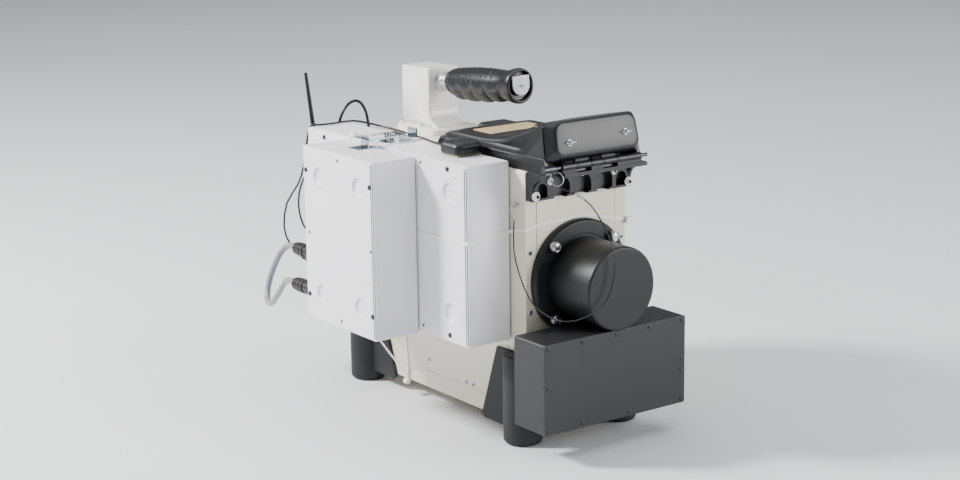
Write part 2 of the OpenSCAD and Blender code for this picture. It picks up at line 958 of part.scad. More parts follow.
// Release pin: knob, shank through all the knuckles, and an eye for its pull ring
module release_pin() {
  piece(steel) {
    translate([-half_w - 2, pin_y, pin_z])
      rod_right(4.6, 18);
    translate([-half_w, pin_y, pin_z])
      rod_right(pin_r, half_w + knuckle_end + 12);
    translate([eye_x, pin_y, eye_z])
      difference() {
        rotate([0, 0, ring_turn])
          translate([0, 1, 0])
            rod_front(3.2, 2);
        rotate([0, 0, ring_turn])
          translate([0, 2, -0.6])
            rod_front(1.5, 4);
      }
  }
}

// Pull ring hanging from the eye of the pin
module pin_ring() {
  piece(steel)
    translate([eye_x, pin_y, eye_z - 0.6 - ring_r])
      rotate([0, 0, ring_turn])
        rotate([0, 90, 0])
          rotate_extrude()
            translate([ring_r, 0])
              circle(r = ring_wire, $fn = 24);
}

// Eye screwed into the case side, and the ring that ties the lanyard to it
anchor_y = 15;
anchor_z = case_top - 45;

anchor_eye_r = 3.5;
anchor_wire = 1;
anchor_x = -half_w - 7;

module anchor_eye() {
  piece(steel) {
    translate([-half_w, anchor_y, anchor_z])
      rotate([0, -90, 0])
        cylinder(r = 2, h = 4);
    translate([anchor_x, anchor_y, anchor_z])
      rotate([90, 0, 0])
        rotate_extrude()
          translate([anchor_eye_r, 0])
            circle(r = anchor_wire, $fn = 24);
  }
}

module anchor_ring() {
  piece(steel)
    translate([anchor_x, anchor_y, anchor_z - anchor_eye_r + anchor_wire + ring_wire + 0.2 - ring_r])
      rotate([0, 90, 0])
        rotate_extrude()
          translate([ring_r, 0])
            circle(r = ring_wire, $fn = 24);
}

// Lanyard route from its ferrule under the pin ring to the ring on the case side
lanyard_points = [[-61.5, -41.5, 354.4], [-54, -46, 350], [-41, -54, 343], [-28, -65, 330], [-23, -84, 307], [-19, -100, 277],
  [-17, -101, 254], [-20, -101, 234], [-29, -100, 212], [-49, -98, 198], [-74, -92, 190],
  [-89, -72, 188], [-97, -45, 197], [-102, -28, 212], [-102, -8, 240], [-98, 8, 268], [-92, 15, 305]];

module lanyard() {
  piece(rubber_black)
    sweep_tube(spline(lanyard_points, 2), lanyard_d, 8);
}

// ---------------------------------------------------------------- handle

handle_x = 12;
base_w = 80;
base_front = 31;
post_y0 = 319;
post_y1 = post_y0 + post_d;
base_h = 9;
post_h = 93;
post_x0 = handle_x - post_w / 2;

// Casting: a base plate with a rounded front, and the post that carries the grip
module handle_casting() {
  piece("#e4e3df") difference() {
    union() {
      translate([post_x0, post_y0, case_top])
        upright_block([post_w, post_d, post_h], 5);
      translate([handle_x - base_w / 2, post_y0 - base_front, case_top])
        upright_block([base_w, post_d + base_front, base_h], 12);
      translate([post_x0, post_y0 - 20, case_top + base_h])
        difference() {
          cube([post_w, 20, 20]);
          translate([-1, 0, 20])
            rod_right(20, post_w + 2);
        }
    }
    for (p = handle_points)
      translate([p[0], p[1], case_top - 1])
        cylinder(r = 2.6, h = base_h + 2);
    grip_frame()
      translate([0, 20, 0])
        rod_front(8 + run_gap, 30);
  }
}

handle_points = [for (sx = [-1, 1], y = [post_y0 + 11, post_y1 - 11]) [handle_x + sx * (base_w / 2 - 7), y]];

// The grip's own frame: its axis runs along -Y and rises towards the front
module grip_frame() {
  translate([handle_x, post_y0, case_top + grip_lift])
    rotate([-grip_rise, 0, 0])
      children();
}

collar_l = 24;

// Metal collar and the tube that runs inside the grip
module handle_collar() {
  piece(steel)
    grip_frame() {
      translate([0, 18, 0])
        rod_front(8, 18 + collar_l + grip_l - 12);
      translate([0, -1.5, 0])
        rotate([90, 0, 0])
          cylinder(r1 = 15, r2 = 13, h = collar_l - 1.5);
    }
}

// Rubber grip: a swelling sleeve with finger bumps and a flared front end
module grip() {
  piece(rubber_black) difference() {
    grip_frame()
      translate([0, -collar_l, 0]) {
        rotate([90, 0, 0])
          rotate_extrude()
            polygon([[0, 0], [grip_r - 5, 0], [grip_r - 3, 4], [grip_r - 0.5, grip_l * 0.25],
                     [grip_r, grip_l * 0.5], [grip_r - 1.5, grip_l * 0.75], [grip_r - 3, grip_l * 0.84],
                     [grip_r + 1, grip_l * 0.9], [grip_r + 1, grip_l - 3], [grip_r - 2, grip_l], [0, grip_l]]);
        for (i = [0 : 3])
          translate([0, -24 - 33 * i, -grip_r + 9])
            sphere(r = 15, $fn = 32);
      }
    grip_frame()
      translate([0, 1, 0])
        rod_front(8 + run_gap, collar_l + grip_l - 12 + 2);
  }
}

// Textured metal plate on the front end of the grip
module grip_plate() {
  piece(steel)
    grip_frame()
      translate([0, -collar_l - grip_l, 0])
        difference() {
          union() {
            translate([0, 0, -2])
              rod_front(15, 2.5);
            translate([-15, -2.5, -2])
              cube([30, 2.5, 15]);
          }
          translate([0, 1, -3])
            rod_front(1.8, 5);
        }
}

// ---------------------------------------------------------------- antennas

puck_pad_t = 3;
puck_x0 = long_x1 - puck_w + 2;
puck_y0 = 88;

// Square positioning antenna on the long box
module puck() {
  piece(satin_black)
    translate([puck_x0, puck_y0, long_z1 + puck_pad_t]) {
      upright_block([puck_w, puck_w, puck_h - 4], 7);
      translate([3, 3, 0])
        upright_block([puck_w - 6, puck_w - 6, puck_h], 6);
    }
}

// Turning base of the whip antenna, in its nut on the rear of the long box
module antenna_base() {
  piece(satin_black) {
    translate([whip_x, long_y1 + 2.2, whip_z])
      rod_back(5, 2.8);
    difference() {
      translate([whip_x, whip_y, whip_z])
        translate([-5, -4.5, -6])
          cube([10, 10, 12]);
      translate([whip_x - 2.7, whip_y - 6, whip_z - 7])
        cube([5.4, 14, 14]);
    }
    translate([whip_x - 5, whip_y - 5.5, whip_z - 6])
      cube([10, 2.5, 12]);
    translate([whip_x - 5, whip_y, whip_z])
      rod_right(1.5, 10);
  }
}

// Whip rod, tilting on the base's pin
module antenna_rod() {
  piece(satin_black)
    translate([whip_x, whip_y, whip_z])
      rotate([-whip_lean, 0, 0])
        difference() {
          union() {
            translate([-2.4, 0, 0])
              rod_right(2.8, 4.8);
            translate([-2.4, -2.4, 0])
              cube([4.8, 4.8, 10]);
            translate([0, 0, 9.5])
              cylinder(r = whip_root_r, h = 12.5);
            translate([0, 0, 21])
              cylinder(r1 = whip_root_r - 0.4, r2 = whip_tip_r, h = whip_l - 21);
          }
          translate([-5, 0, 0])
            rod_right(1.5 + run_gap, 10);
        }
}

// ---------------------------------------------------------------- cables and connectors

arch_points = [[-55, 417, 356], [-55, 417, 368], [-56, 418, 382], [-59, 419, 396], [-65, 421, 407],
  [-73, 424, 411], [-83, 428, 406], [-91, 431, 394], [-96, 432, 381], [-98, 432.5, 368], [-98, 432.5, 356]];
puck_lead_points = [[-100, 132, 388], [-100, 138, 387.6], [-97, 152, 385], [-92, 195, 383.5], [-80, 240, 382], [-56, 300, 374.6],
  [-46, 350, 373.5], [-48, 395, 374.5], [-66, 408, 380], [-86, 413, 384.2], [-115, 413, 384],
  [-140, 415, 384], [-149, 424, 383], [-152, 430, 366], [-151, 446, 320], [-148, 468, 290],
  [-148, 503, 255], [-148, 514, 217], [-141, 510, 190], [-131, 488, 170], [-121, 452, 165], [-121, 441, 165]];
whip_lead_points = [[-121, 441, 316], [-121, 451, 316], [-124, 465, 311], [-128, 484, 294], [-130, 497, 268],
  [-130, 498, 240], [-128, 486, 217], [-122, 464, 206], [-121, 451, 205], [-121, 441, 205]];

// Black leads: the arched one, the positioning antenna's lead and the whip's lead
module coax_leads() {
  piece(rubber_black) {
    sweep_tube(spline(arch_points, 2), arch_d, 8);
    sweep_tube(puck_lead_points, lead_d, 8);
    sweep_tube(whip_lead_points, lead_d, 8);
  }
}

plug_r = 11;
upper_x = long_x0 + 8.5;
upper_z = long_z0 + 51.5;
lower_x = outer_x0 + 16;
lower_z = outer_z0 + 32;
plug_l = 44;
receptacle_l = 12;
socket_l = 17.5;

// Connectors fixed in the panels: two round receptacles, two elbows and three lead sockets
module panel_connectors() {
  piece("#2c2624") {
    translate([upper_x, long_y1, upper_z])
      rod_back(9, receptacle_l);
    translate([lower_x, outer_y1, lower_z])
      rod_back(9, receptacle_l);
    translate([long_x1 - 10.5, long_y1, case_top - 25])
      elbow(9);
    translate([-half_w + 30, case_l, case_top - 25])
      elbow(13);
    for (z = [26.5, 66.5, 177.5])
      translate([long_x1 - 33.5, long_y1, long_z0 + z])
        rod_back(3.4, socket_l);
    translate([whip_x, long_y1, whip_z])
      rod_back(7, 2.15);
  }
}

// A right-angle connector: out of the panel, then up
module elbow(reach) {
  rod_back(4.2, reach);
  translate([0, reach, -5])
    cylinder(r = 4.2, h = 15);
}

// Plugs of the grey cable, each with a tapering strain relief
module cable_plugs() {
  piece("#2c2624") {
    translate([upper_x, long_y1 + receptacle_l, upper_z])
      plug_body();
    translate([lower_x, outer_y1 + receptacle_l, lower_z])
      plug_body();
  }
}

module plug_body() {
  rod_back(8.5, plug_l - 6);
  translate([0, 18, 0])
    rod_back(plug_r - 0.8, 14);
  translate([0, 32, 0])
    rotate([-90, 0, 0])
      cylinder(r1 = plug_r - 1, r2 = grey_d / 2 + 1.5, h = plug_l - 32 + 12);
}

// A coupling ring that turns round the front of its plug
module plug_ring() {
  difference() {
    rod_back(plug_r, 16);
    translate([0, -1, 0])
      rod_back(9 + run_gap, 18);
  }
}

module plug_ring_upper() {
  piece("#2c2624")
    translate([upper_x, long_y1 + 1.5, upper_z])
      plug_ring();
}

module plug_ring_lower() {
  piece("#2c2624")
    translate([lower_x, outer_y1 + 1.5, lower_z])
      plug_ring();
}

grey_points = [[-146, 491.5, 190], [-146, 501, 190], [-148, 511, 186], [-153, 521, 174], [-160, 528, 154],
  [-167, 531, 133], [-173, 528, 115], [-180, 514, 106], [-187, 490, 111], [-194, 465, 126], [-201, 438, 145],
  [-206, 417, 160], [-208, 402, 166], [-208, 391, 166]];

module grey_cable() {
  piece(grey_jacket)
    sweep_tube(grey_points, grey_d, 12);
}

// ---------------------------------------------------------------- ties

tie_w = 4.8;
tie_t = 1.2;

// Nylon tie round the case and the long box
module tie_horizontal() {
  out = tie_t / 2 + 0.1;
  top = axis_z + flange_r;
  rear_turn = long_y1 > case_l ? [long_x1, long_y1 + out] : [-half_w - out, case_l + out];
  run = [[-plate_half, -out, top], [-13, -out, top + 3], [14, -out, top + 3], [38, -out, top - 2.5],
         [62, -out, top - 8.5], [half_w + out, -out, top - 13], [half_w + out, case_l + out, top - 18],
         [rear_turn[0], rear_turn[1], top - 32], [long_x0 - out, long_y1 + out, top - 36],
         [long_x0 - out, outer_y0 - 5, top - 23.5], [long_x0 - out, long_y0 - out, top - 18.5],
         [long_x1, long_y0 - out, top - 11], [-half_w - out, 20, top - 8], [-half_w - out, -out, top - 4],
         [-plate_half, -out, top]];
  piece(nylon) {
    for (i = [0 : len(run) - 2])
      strap_upright(run[i], run[i + 1], tie_w, tie_t);
    translate([half_w - 2, -6, top - 17.5])
      cube([9, 5.5, 8]);
  }
}

// Nylon tie round the long box, down to a button under the case edge
module tie_vertical() {
  out = tie_t / 2 + 0.1;
  run = [[-half_w - 1.2, 280, 25], [long_x0 - out, 311, long_z0 - out],
         [long_x0 - out, 313, long_z1 + out], [-half_w - 1.2, 313, long_z1 + out],
         [-half_w - 1.2, 280, 25]];
  piece(nylon) {
    for (i = [0 : 3])
      strap_across(run[i], run[i + 1], tie_w, tie_t);
    translate([long_x0 + 4, 308.5, long_z1 + 0.2])
      cube([8, 9, 5.5]);
    translate([-half_w - 4.2, 284, 21])
      rod_front(4, 8);
  }
}

// ---------------------------------------------------------------- latch

latch_y = 246;
latch_x = long_x0 + 26.5;
latch_z = long_z1 + 7.5;
bail_x = latch_x + 12;
bail_z = latch_z + 2;
bail_end = outer_x1 - 17;
bail_wire = 1.2;
bail_half = 15;
ear_half = 11;
lever_l = 36;

// Latch base with its ears and pin on the long box, and the keeper on the outer box
module latch_plates() {
  piece(zinc) {
    translate([latch_x - 14, latch_y - 16, long_z1])
      cube([54, 32, 1.6]);
    for (side = [-1, 1])
      translate([latch_x - 4, latch_y + side * (ear_half + 1) - 1, long_z1])
        cube([8, 2, latch_z - long_z1 + 4]);
    translate([latch_x, latch_y - ear_half - 1, latch_z])
      rod_back(1.5, 2 * ear_half + 2);
    translate([bail_end - 16, latch_y - 14, outer_z1])
      cube([32, 28, 1.6]);
    translate([bail_end + bail_wire + 0.3, latch_y - 9, outer_z1])
      cube([2, 18, bail_z + 3 - outer_z1]);
  }
}

// Latch lever: a barrel on the pin, a plate with an upturned tip, and a barrel for the bail
module latch_lever() {
  half = ear_half - body_gap;
  piece(zinc) difference() {
    union() {
      translate([latch_x, latch_y - half, latch_z])
        rod_back(3.4, 2 * half);
      translate([latch_x, latch_y - half, latch_z - 3])
        cube([lever_l, 2 * half, 2]);
      translate([latch_x + lever_l - 2, latch_y - half, latch_z - 3])
        cube([2, 2 * half, 12]);
      translate([bail_x, latch_y - half, bail_z])
        rod_back(2.8, 2 * half);
      translate([bail_x - 2.5, latch_y - half, latch_z - 3])
        cube([5, 2 * half, 5]);
    }
    translate([latch_x, latch_y - 20, latch_z])
      rod_back(1.5 + run_gap, 40);
    translate([bail_x, latch_y - 20, bail_z])
      rod_back(bail_wire + run_gap, 40);
  }
}

// Wire bail: a closed loop from the lever to the keeper, its side wires a little thinner
module latch_bail() {
  over = 2 * bail_wire;
  piece(zinc) {
    for (x = [bail_x, bail_end])
      translate([x, latch_y - bail_half - over, bail_z])
        rod_back(bail_wire, 2 * bail_half + 2 * over);
    for (side = [-1, 1])
      translate([bail_end, latch_y + side * bail_half, bail_z])
        rod_right(bail_wire * 0.85, bail_x - bail_end);
  }
}

// ---------------------------------------------------------------- nodes

case_shell();
front_plate();
side_panels();
rear_panel();
case_screws();
bumpers_front();
bumpers_rear();
flange();
endcap();
thumb_screw_1();
thumb_screw_2();
thumb_screw_3();
thumb_screw_4();
crystal();
cryostat();
cooler();
battery();
circuit_boards();
neutron_box();
neutron_lid();
moderator();
neutron_tubes();
neutron_spacer();
foam_pads();
long_box();
long_lid();
outer_box();
outer_lid();
lid_screws();
hood_bracket();
socket_screws();
hood_shell();
hood_cover();
stud_left();
stud_right();
release_pin();
pin_ring();
anchor_eye();
anchor_ring();
lanyard();
display_panel();
dome();
handle_casting();
handle_collar();
grip();
grip_plate();
puck();
antenna_base();
antenna_rod();
coax_leads();
panel_connectors();
cable_plugs();
plug_ring_upper();
plug_ring_lower();
grey_cable();
tie_horizontal();
tie_vertical();
latch_plates();
latch_lever();
latch_bail();
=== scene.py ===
"""Looks of a portable radiation detector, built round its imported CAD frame.

Shapes are drawn in millimetres from the case: x from its middle, y back from its front face, z up
from the floor. `make_piece` puts them in the frame's own metres.
"""

import logging
import math
from collections.abc import Iterable, Sequence
from dataclasses import dataclass, field
from enum import Enum

import bmesh
import bpy
from mathutils import Matrix, Vector


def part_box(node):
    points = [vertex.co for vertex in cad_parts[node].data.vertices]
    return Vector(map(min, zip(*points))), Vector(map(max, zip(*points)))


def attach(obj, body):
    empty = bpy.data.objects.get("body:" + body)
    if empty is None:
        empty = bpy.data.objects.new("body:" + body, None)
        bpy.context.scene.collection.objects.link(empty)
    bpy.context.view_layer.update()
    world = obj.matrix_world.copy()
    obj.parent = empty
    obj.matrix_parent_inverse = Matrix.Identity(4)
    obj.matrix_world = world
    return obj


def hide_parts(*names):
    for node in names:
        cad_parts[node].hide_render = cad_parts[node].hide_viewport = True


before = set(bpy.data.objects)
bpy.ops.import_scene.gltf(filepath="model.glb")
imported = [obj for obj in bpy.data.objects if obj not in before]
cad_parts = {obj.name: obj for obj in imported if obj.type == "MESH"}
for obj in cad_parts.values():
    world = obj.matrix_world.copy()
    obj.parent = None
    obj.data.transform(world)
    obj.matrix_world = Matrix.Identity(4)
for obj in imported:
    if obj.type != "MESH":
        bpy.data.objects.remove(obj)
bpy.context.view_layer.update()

CASE_LOW, CASE_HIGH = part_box("case_shell")
ORIGIN = Vector(((CASE_LOW.x + CASE_HIGH.x) / 2, CASE_LOW.y, 0.0))
MM = 0.001
MERGE_MM = 1e-4
TO_FRAME = Matrix.Translation(ORIGIN) @ Matrix.Scale(MM, 4)

Point = tuple[float, float, float]
Pair = tuple[float, float]
log = logging.getLogger("detector")


# ---------------------------------------------------------------- node and colour helpers


def srgb(code: str) -> tuple[float, float, float, float]:
    """Turns an sRGB hex code into a linear colour.

    Args:
        code: six hex digits, with or without a leading '#'.

    Returns:
        Linear red, green, blue and an alpha of 1.
    """
    parts = [int(code.lstrip("#")[i : i + 2], 16) / 255 for i in (0, 2, 4)]
    linear = [c / 12.92 if c <= 0.04045 else ((c + 0.055) / 1.055) ** 2.4 for c in parts]
    return (*linear, 1.0)


def add(tree: bpy.types.NodeTree, kind: str, links: dict | None = None, **settings) -> bpy.types.Node:
    """Adds one node, sets it up and links it.

    Args:
        tree: the node tree.
        kind: the node's type name.
        links: input name or index to a value, or to the output socket that feeds it.
        settings: attributes of the node itself, set before its sockets are used.

    Returns:
        The new node.
    """
    node = tree.nodes.new(kind)
    for name, value in settings.items():
        setattr(node, name, value)
    for key, value in (links or {}).items():
        if isinstance(value, bpy.types.NodeSocket):
            tree.links.new(value, node.inputs[key])
        else:
            node.inputs[key].default_value = value
    return node


class Grain(Enum):
    """The kinds of fine surface pattern that a finish can have."""

    POWDER = "powder coat pimples"
    SPARK = "spark-eroded mould texture"
    BRUSHED = "straight brushing"
    CELLS = "cast or foamed cells"


@dataclass(frozen=True)
class Finish:
    """A surface finish: its colours, gloss and fine relief; some finishes also carry a painted edge highlight, and
    the bright zinc painted reflections.
    """

    name: str
    colour: str
    shade: str
    roughness: float
    metallic: float = 0.0
    patch_mm: float = 60.0
    grain: Grain = Grain.POWDER
    grain_mm: float = 1.2
    relief_mm: float = 0.02
    gloss_spread: float = 0.08
    edge_mm: float = 0.0
    edge_wear_and_highlight: str = ""
    edge_wear_and_highlight_share: float = 0.35
    coat: float = 0.0
    subsurface: float = 0.0
    ior: float = 1.5
    anisotropic: float = 0.0

    def material(self) -> bpy.types.Material:
        """Builds the node material, once for each finish.

        Returns:
            The material of this finish.
        """
        if self.name in bpy.data.materials:
            return bpy.data.materials[self.name]
        mat = bpy.data.materials.new(self.name)
        mat.use_nodes = True
        tree = mat.node_tree
        tree.nodes.clear()
        coords = add(tree, "ShaderNodeTexCoord").outputs["Object"]
        patches = self._noise(tree, coords, self.patch_mm, 3.0)
        # The shade colour in soft patches: random tone on most finishes, painted dark reflections on the bright
        # zinc.
        colour = add(tree, "ShaderNodeMix", {0: patches, 6: srgb(self.colour), 7: srgb(self.shade)},
                     data_type="RGBA").outputs[2]
        height = self._height(tree, coords)
        normal = {"Strength": 1.0, "Distance": self.relief_mm * MM, "Height": height}
        if self.edge_mm:
            rounded = add(tree, "ShaderNodeBevel", {"Radius": self.edge_mm * MM}, samples=4).outputs["Normal"]
            normal["Normal"] = rounded
            # Paler edges: a painted edge highlight on some finishes, edge wear on others.
            if self.edge_wear_and_highlight:
                colour = self._edge_wear_and_highlight(tree, colour, rounded, patches)
        bump = add(tree, "ShaderNodeBump", normal)
        gloss = add(tree, "ShaderNodeMapRange", {
            "Value": height,
            "To Min": max(self.roughness - self.gloss_spread, 0.04),
            "To Max": min(self.roughness + self.gloss_spread, 1.0),
        })
        links = {
            "Base Color": colour, "Roughness": gloss.outputs["Result"], "Normal": bump.outputs["Normal"],
            "Metallic": self.metallic, "Coat Weight": self.coat, "Subsurface Weight": self.subsurface,
            "Subsurface Scale": 0.003, "Anisotropic": self.anisotropic,
        }
        if not self.metallic:
            links["IOR"] = self.ior
        shader = add(tree, "ShaderNodeBsdfPrincipled", links)
        add(tree, "ShaderNodeOutputMaterial", {"Surface": shader.outputs["BSDF"]})
        return mat

    def _noise(self, tree: bpy.types.NodeTree, coords: bpy.types.NodeSocket, size_mm: float,
               detail: float) -> bpy.types.NodeSocket:
        """Returns a soft noise whose patches are about size_mm across."""
        noise = add(tree, "ShaderNodeTexNoise", {"Vector": coords, "Scale": 1 / (size_mm * MM), "Detail": detail})
        return noise.outputs["Fac"]

    def _height(self, tree: bpy.types.NodeTree, coords: bpy.types.NodeSocket) -> bpy.types.NodeSocket:
        """Returns the height field of the fine relief, from 0 to 1.

        Args:
            tree: the material's node tree.
            coords: the piece's own coordinates.

        Returns:
            The output that holds it.
        """
        scale = 1 / (self.grain_mm * MM)
        if self.grain is Grain.CELLS:
            cells = add(tree, "ShaderNodeTexVoronoi", {"Vector": coords, "Scale": scale, "Randomness": 1.0})
            return cells.outputs["Distance"]
        if self.grain is Grain.BRUSHED:
            stretched = add(tree, "ShaderNodeMapping", {"Vector": coords, "Scale": (0.04, 1.0, 1.0)})
            lines = add(tree, "ShaderNodeTexNoise",
                        {"Vector": stretched.outputs["Vector"], "Scale": scale, "Detail": 4.0})
            return lines.outputs["Fac"]
        detail = 2.0 if self.grain is Grain.POWDER else 5.0
        return self._noise(tree, coords, self.grain_mm, detail)

    def _edge_wear_and_highlight(self, tree: bpy.types.NodeTree, colour: bpy.types.NodeSocket, rounded: bpy.types.NodeSocket,
              patches: bpy.types.NodeSocket) -> bpy.types.NodeSocket:
        """Returns the colour with its edges tinted towards the paler edge colour, more in some patches: a painted
        edge highlight on some finishes, edge wear on others.

        Args:
            tree: the material's node tree.
            colour: the colour before the edges are tinted.
            rounded: the rounded normal.
            patches: the soft patches.

        Returns:
            The mixed colour.
        """
        flat = add(tree, "ShaderNodeNewGeometry").outputs["Normal"]
        facing = add(tree, "ShaderNodeVectorMath", {0: rounded, 1: flat}, operation="DOT_PRODUCT")
        edge = add(tree, "ShaderNodeMapRange", {"Value": facing.outputs["Value"], "From Min": 0.99,
                                                "From Max": 0.8, "To Min": 0.0, "To Max": self.edge_wear_and_highlight_share})
        edge_tint = add(tree, "ShaderNodeMath", {0: edge.outputs["Result"], 1: patches}, operation="MULTIPLY")
        mixed = add(tree, "ShaderNodeMix", {0: edge_tint.outputs["Value"], 6: colour, 7: srgb(self.edge_wear_and_highlight)},
                    data_type="RGBA")
        return mixed.outputs[2]


# Polyester powder coat on aluminium sheet: satin, warm cream, very fine pimples, edges a little paler
CREAM_COAT = Finish("cream_powder_coat", "#e8e2d0", "#e2dbc8", 0.42, grain_mm=1.4, relief_mm=0.02,
                    edge_mm=0.7, edge_wear_and_highlight="#efece2", edge_wear_and_highlight_share=0.5)
# The same coat in cool white on the folded side boxes, a little smoother and glossier, its edges painted paler as
# a painted highlight
WHITE_COAT = Finish("white_powder_coat", "#f3f2f5", "#ecebf0", 0.34, grain_mm=1.6, relief_mm=0.015,
                    edge_mm=0.8, edge_wear_and_highlight="#f6f6fa", edge_wear_and_highlight_share=0.4)
# Coarse textured charcoal coat on the neutron module: dull, its pimples drawn at 1.5 mm so that they show
CHARCOAL_COAT = Finish("charcoal_textured_coat", "#1d1d1f", "#18181a", 0.5, grain_mm=1.5, relief_mm=0.07,
                       gloss_spread=0.12, edge_mm=0.7, edge_wear_and_highlight="#8a8a90", edge_wear_and_highlight_share=0.8)
# Hard black anodising on turned aluminium: deep satin black with a soft broad highlight, and its rims painted grey
# as a painted highlight
BLACK_ANODISED = Finish("black_anodised_aluminium", "#232425", "#1d1e1f", 0.4, metallic=0.4, patch_mm=40,
                        grain_mm=0.9, relief_mm=0.006, gloss_spread=0.05, edge_mm=1.4, edge_wear_and_highlight="#77787a",
                        edge_wear_and_highlight_share=0.6)
# Injection-moulded black ABS with a fine spark texture: even sheen, slightly bluish grey in the light
BLACK_ABS = Finish("black_moulded_abs", "#121214", "#0e0e10", 0.38, grain=Grain.SPARK, grain_mm=1.1,
                   relief_mm=0.018, edge_mm=0.8)
# Moulded black rubber of the bumpers: matt, a little dusty
BUMPER_RUBBER = Finish("black_bumper_rubber", "#101012", "#151517", 0.62, patch_mm=25, grain=Grain.SPARK,
                       grain_mm=1.5, relief_mm=0.04, edge_mm=1.2)
# Glossier rubber of the hand grip
GRIP_RUBBER = Finish("black_grip_rubber", "#08080a", "#0c0c0e", 0.36, patch_mm=20, grain=Grain.SPARK,
                     grain_mm=1.0, relief_mm=0.015)
# The same rubber, polished glossy where the palm rubs its raised dots, and painted lighter grey as a painted
# highlight so that the dots glint
GLOSSY_RUBBER_PAINTED_HIGHLIGHT = Finish("polished_grip_rubber", "#2c2c30", "#222226", 0.14, patch_mm=9, grain_mm=1.0,
                         relief_mm=0.008, coat=0.6)
# Turned and brushed stainless steel: screw heads, pin, collar
BRUSHED_STEEL = Finish("brushed_stainless_steel", "#c9cbce", "#a9abb0", 0.27, metallic=1.0, patch_mm=6,
                       grain=Grain.BRUSHED, grain_mm=0.5, relief_mm=0.01, anisotropic=0.3)
# Etched steel end plate of the grip: sparkling pits about 1 mm across
PITTED_STEEL = Finish("pitted_steel_plate", "#cfd1d4", "#3f4145", 0.38, metallic=1.0, patch_mm=1.7,
                      grain=Grain.CELLS, grain_mm=1.3, relief_mm=0.35, gloss_spread=0.15)
# Satin silver collar of the handle
SATIN_ALUMINIUM = Finish("satin_aluminium", "#d5d6d9", "#c6c7cb", 0.3, metallic=0.9, patch_mm=8,
                         grain=Grain.BRUSHED, grain_mm=0.6, relief_mm=0.006)
# Near-black metal in the drive sockets: painted shade where the sockets fall dark
SOCKET_PAINTED_SHADE = Finish("oiled_black_socket", "#0e0e10", "#18181b", 0.5, metallic=0.3, patch_mm=1.5, grain_mm=0.7,
                     relief_mm=0.01)
# White nylon washers round the bracket's socket screws
WHITE_WASHER = Finish("white_nylon_washer", "#f2f1ec", "#e6e5df", 0.3, patch_mm=5, grain_mm=0.9, relief_mm=0.01)
# Bright zinc-plated sheet of the latch: mirror-like with faint waviness, and dark patches painted in as painted
# reflections
BRIGHT_ZINC = Finish("bright_zinc_plate", "#e9eef2", "#56626e", 0.12, metallic=1.0, patch_mm=4,
                     grain=Grain.SPARK, grain_mm=5.0, relief_mm=0.12, gloss_spread=0.06, edge_mm=0.5)
# Black oxide on the small lid screws
BLACK_OXIDE = Finish("black_oxide_steel", "#3a3a3d", "#58585c", 0.32, metallic=0.85, patch_mm=2,
                     grain_mm=0.8, relief_mm=0.01)
# Semi-gloss white paint on a sand casting: soft orange peel
CAST_WHITE = Finish("white_cast_paint", "#f1f0ec", "#e9e8e3", 0.27, grain_mm=3.0, relief_mm=0.02,
                    gloss_spread=0.05, coat=0.25)
# Natural nylon of the ties: milky, lets some light through
NATURAL_NYLON = Finish("natural_nylon", "#fbfaf6", "#f1efe8", 0.28, patch_mm=12, grain_mm=1.2,
                       relief_mm=0.012, subsurface=0.25)
# Glass-filled black-brown nylon of the round plugs
CONNECTOR_NYLON = Finish("brown_black_connector", "#2b2422", "#211b1a", 0.42, patch_mm=9, grain=Grain.SPARK,
                         grain_mm=0.9, relief_mm=0.03)
# Smooth PVC jackets of the cables
BLACK_JACKET = Finish("black_cable_jacket", "#141416", "#1b1b1e", 0.36, patch_mm=15, grain_mm=0.9,
                      relief_mm=0.01)
GREY_JACKET = Finish("grey_cable_jacket", "#8f8c96", "#85828c", 0.36, patch_mm=18, grain_mm=1.0,
                     relief_mm=0.012)
# Closed-cell mounting foam, tan, with open cells about 1 mm across on its cut edges
TAN_FOAM = Finish("tan_foam_tape", "#a3967b", "#93866c", 0.85, patch_mm=6, grain=Grain.CELLS, grain_mm=1.0,
                  relief_mm=0.25)
# Plain unprinted film of the panel on the hood
TAN_FILM = Finish("tan_panel_film", "#cdb78a", "#c3ab7b", 0.3, patch_mm=22, grain_mm=2.5, relief_mm=0.01)
# Green laminate of the circuit boards
GREEN_BOARD = Finish("green_board_laminate", "#2f6b45", "#2a5f3e", 0.4, patch_mm=10, grain_mm=1.5)
# Mill-finish aluminium of the inner pieces
MILL_ALUMINIUM = Finish("mill_aluminium", "#b5b7ba", "#a5a7aa", 0.35, metallic=1.0, patch_mm=12,
                        grain=Grain.BRUSHED, grain_mm=0.7, relief_mm=0.01)
# Sawn white polyethylene of the moderator
WHITE_POLY = Finish("white_polyethylene", "#efeee8", "#e6e5dd", 0.5, patch_mm=15, grain_mm=1.8,
                    relief_mm=0.04)
# Shrink sleeve of the battery pack
BATTERY_SLEEVE = Finish("battery_shrink_sleeve", "#2a2f36", "#23272d", 0.3, patch_mm=18, grain_mm=2.0)
# Pale seamless studio floor
STUDIO_FLOOR = Finish("pale_studio_floor", "#e3e4e6", "#dedfe2", 0.75, patch_mm=900, grain_mm=4.0,
                      relief_mm=0.03)


# ---------------------------------------------------------------- mesh helpers (millimetres)


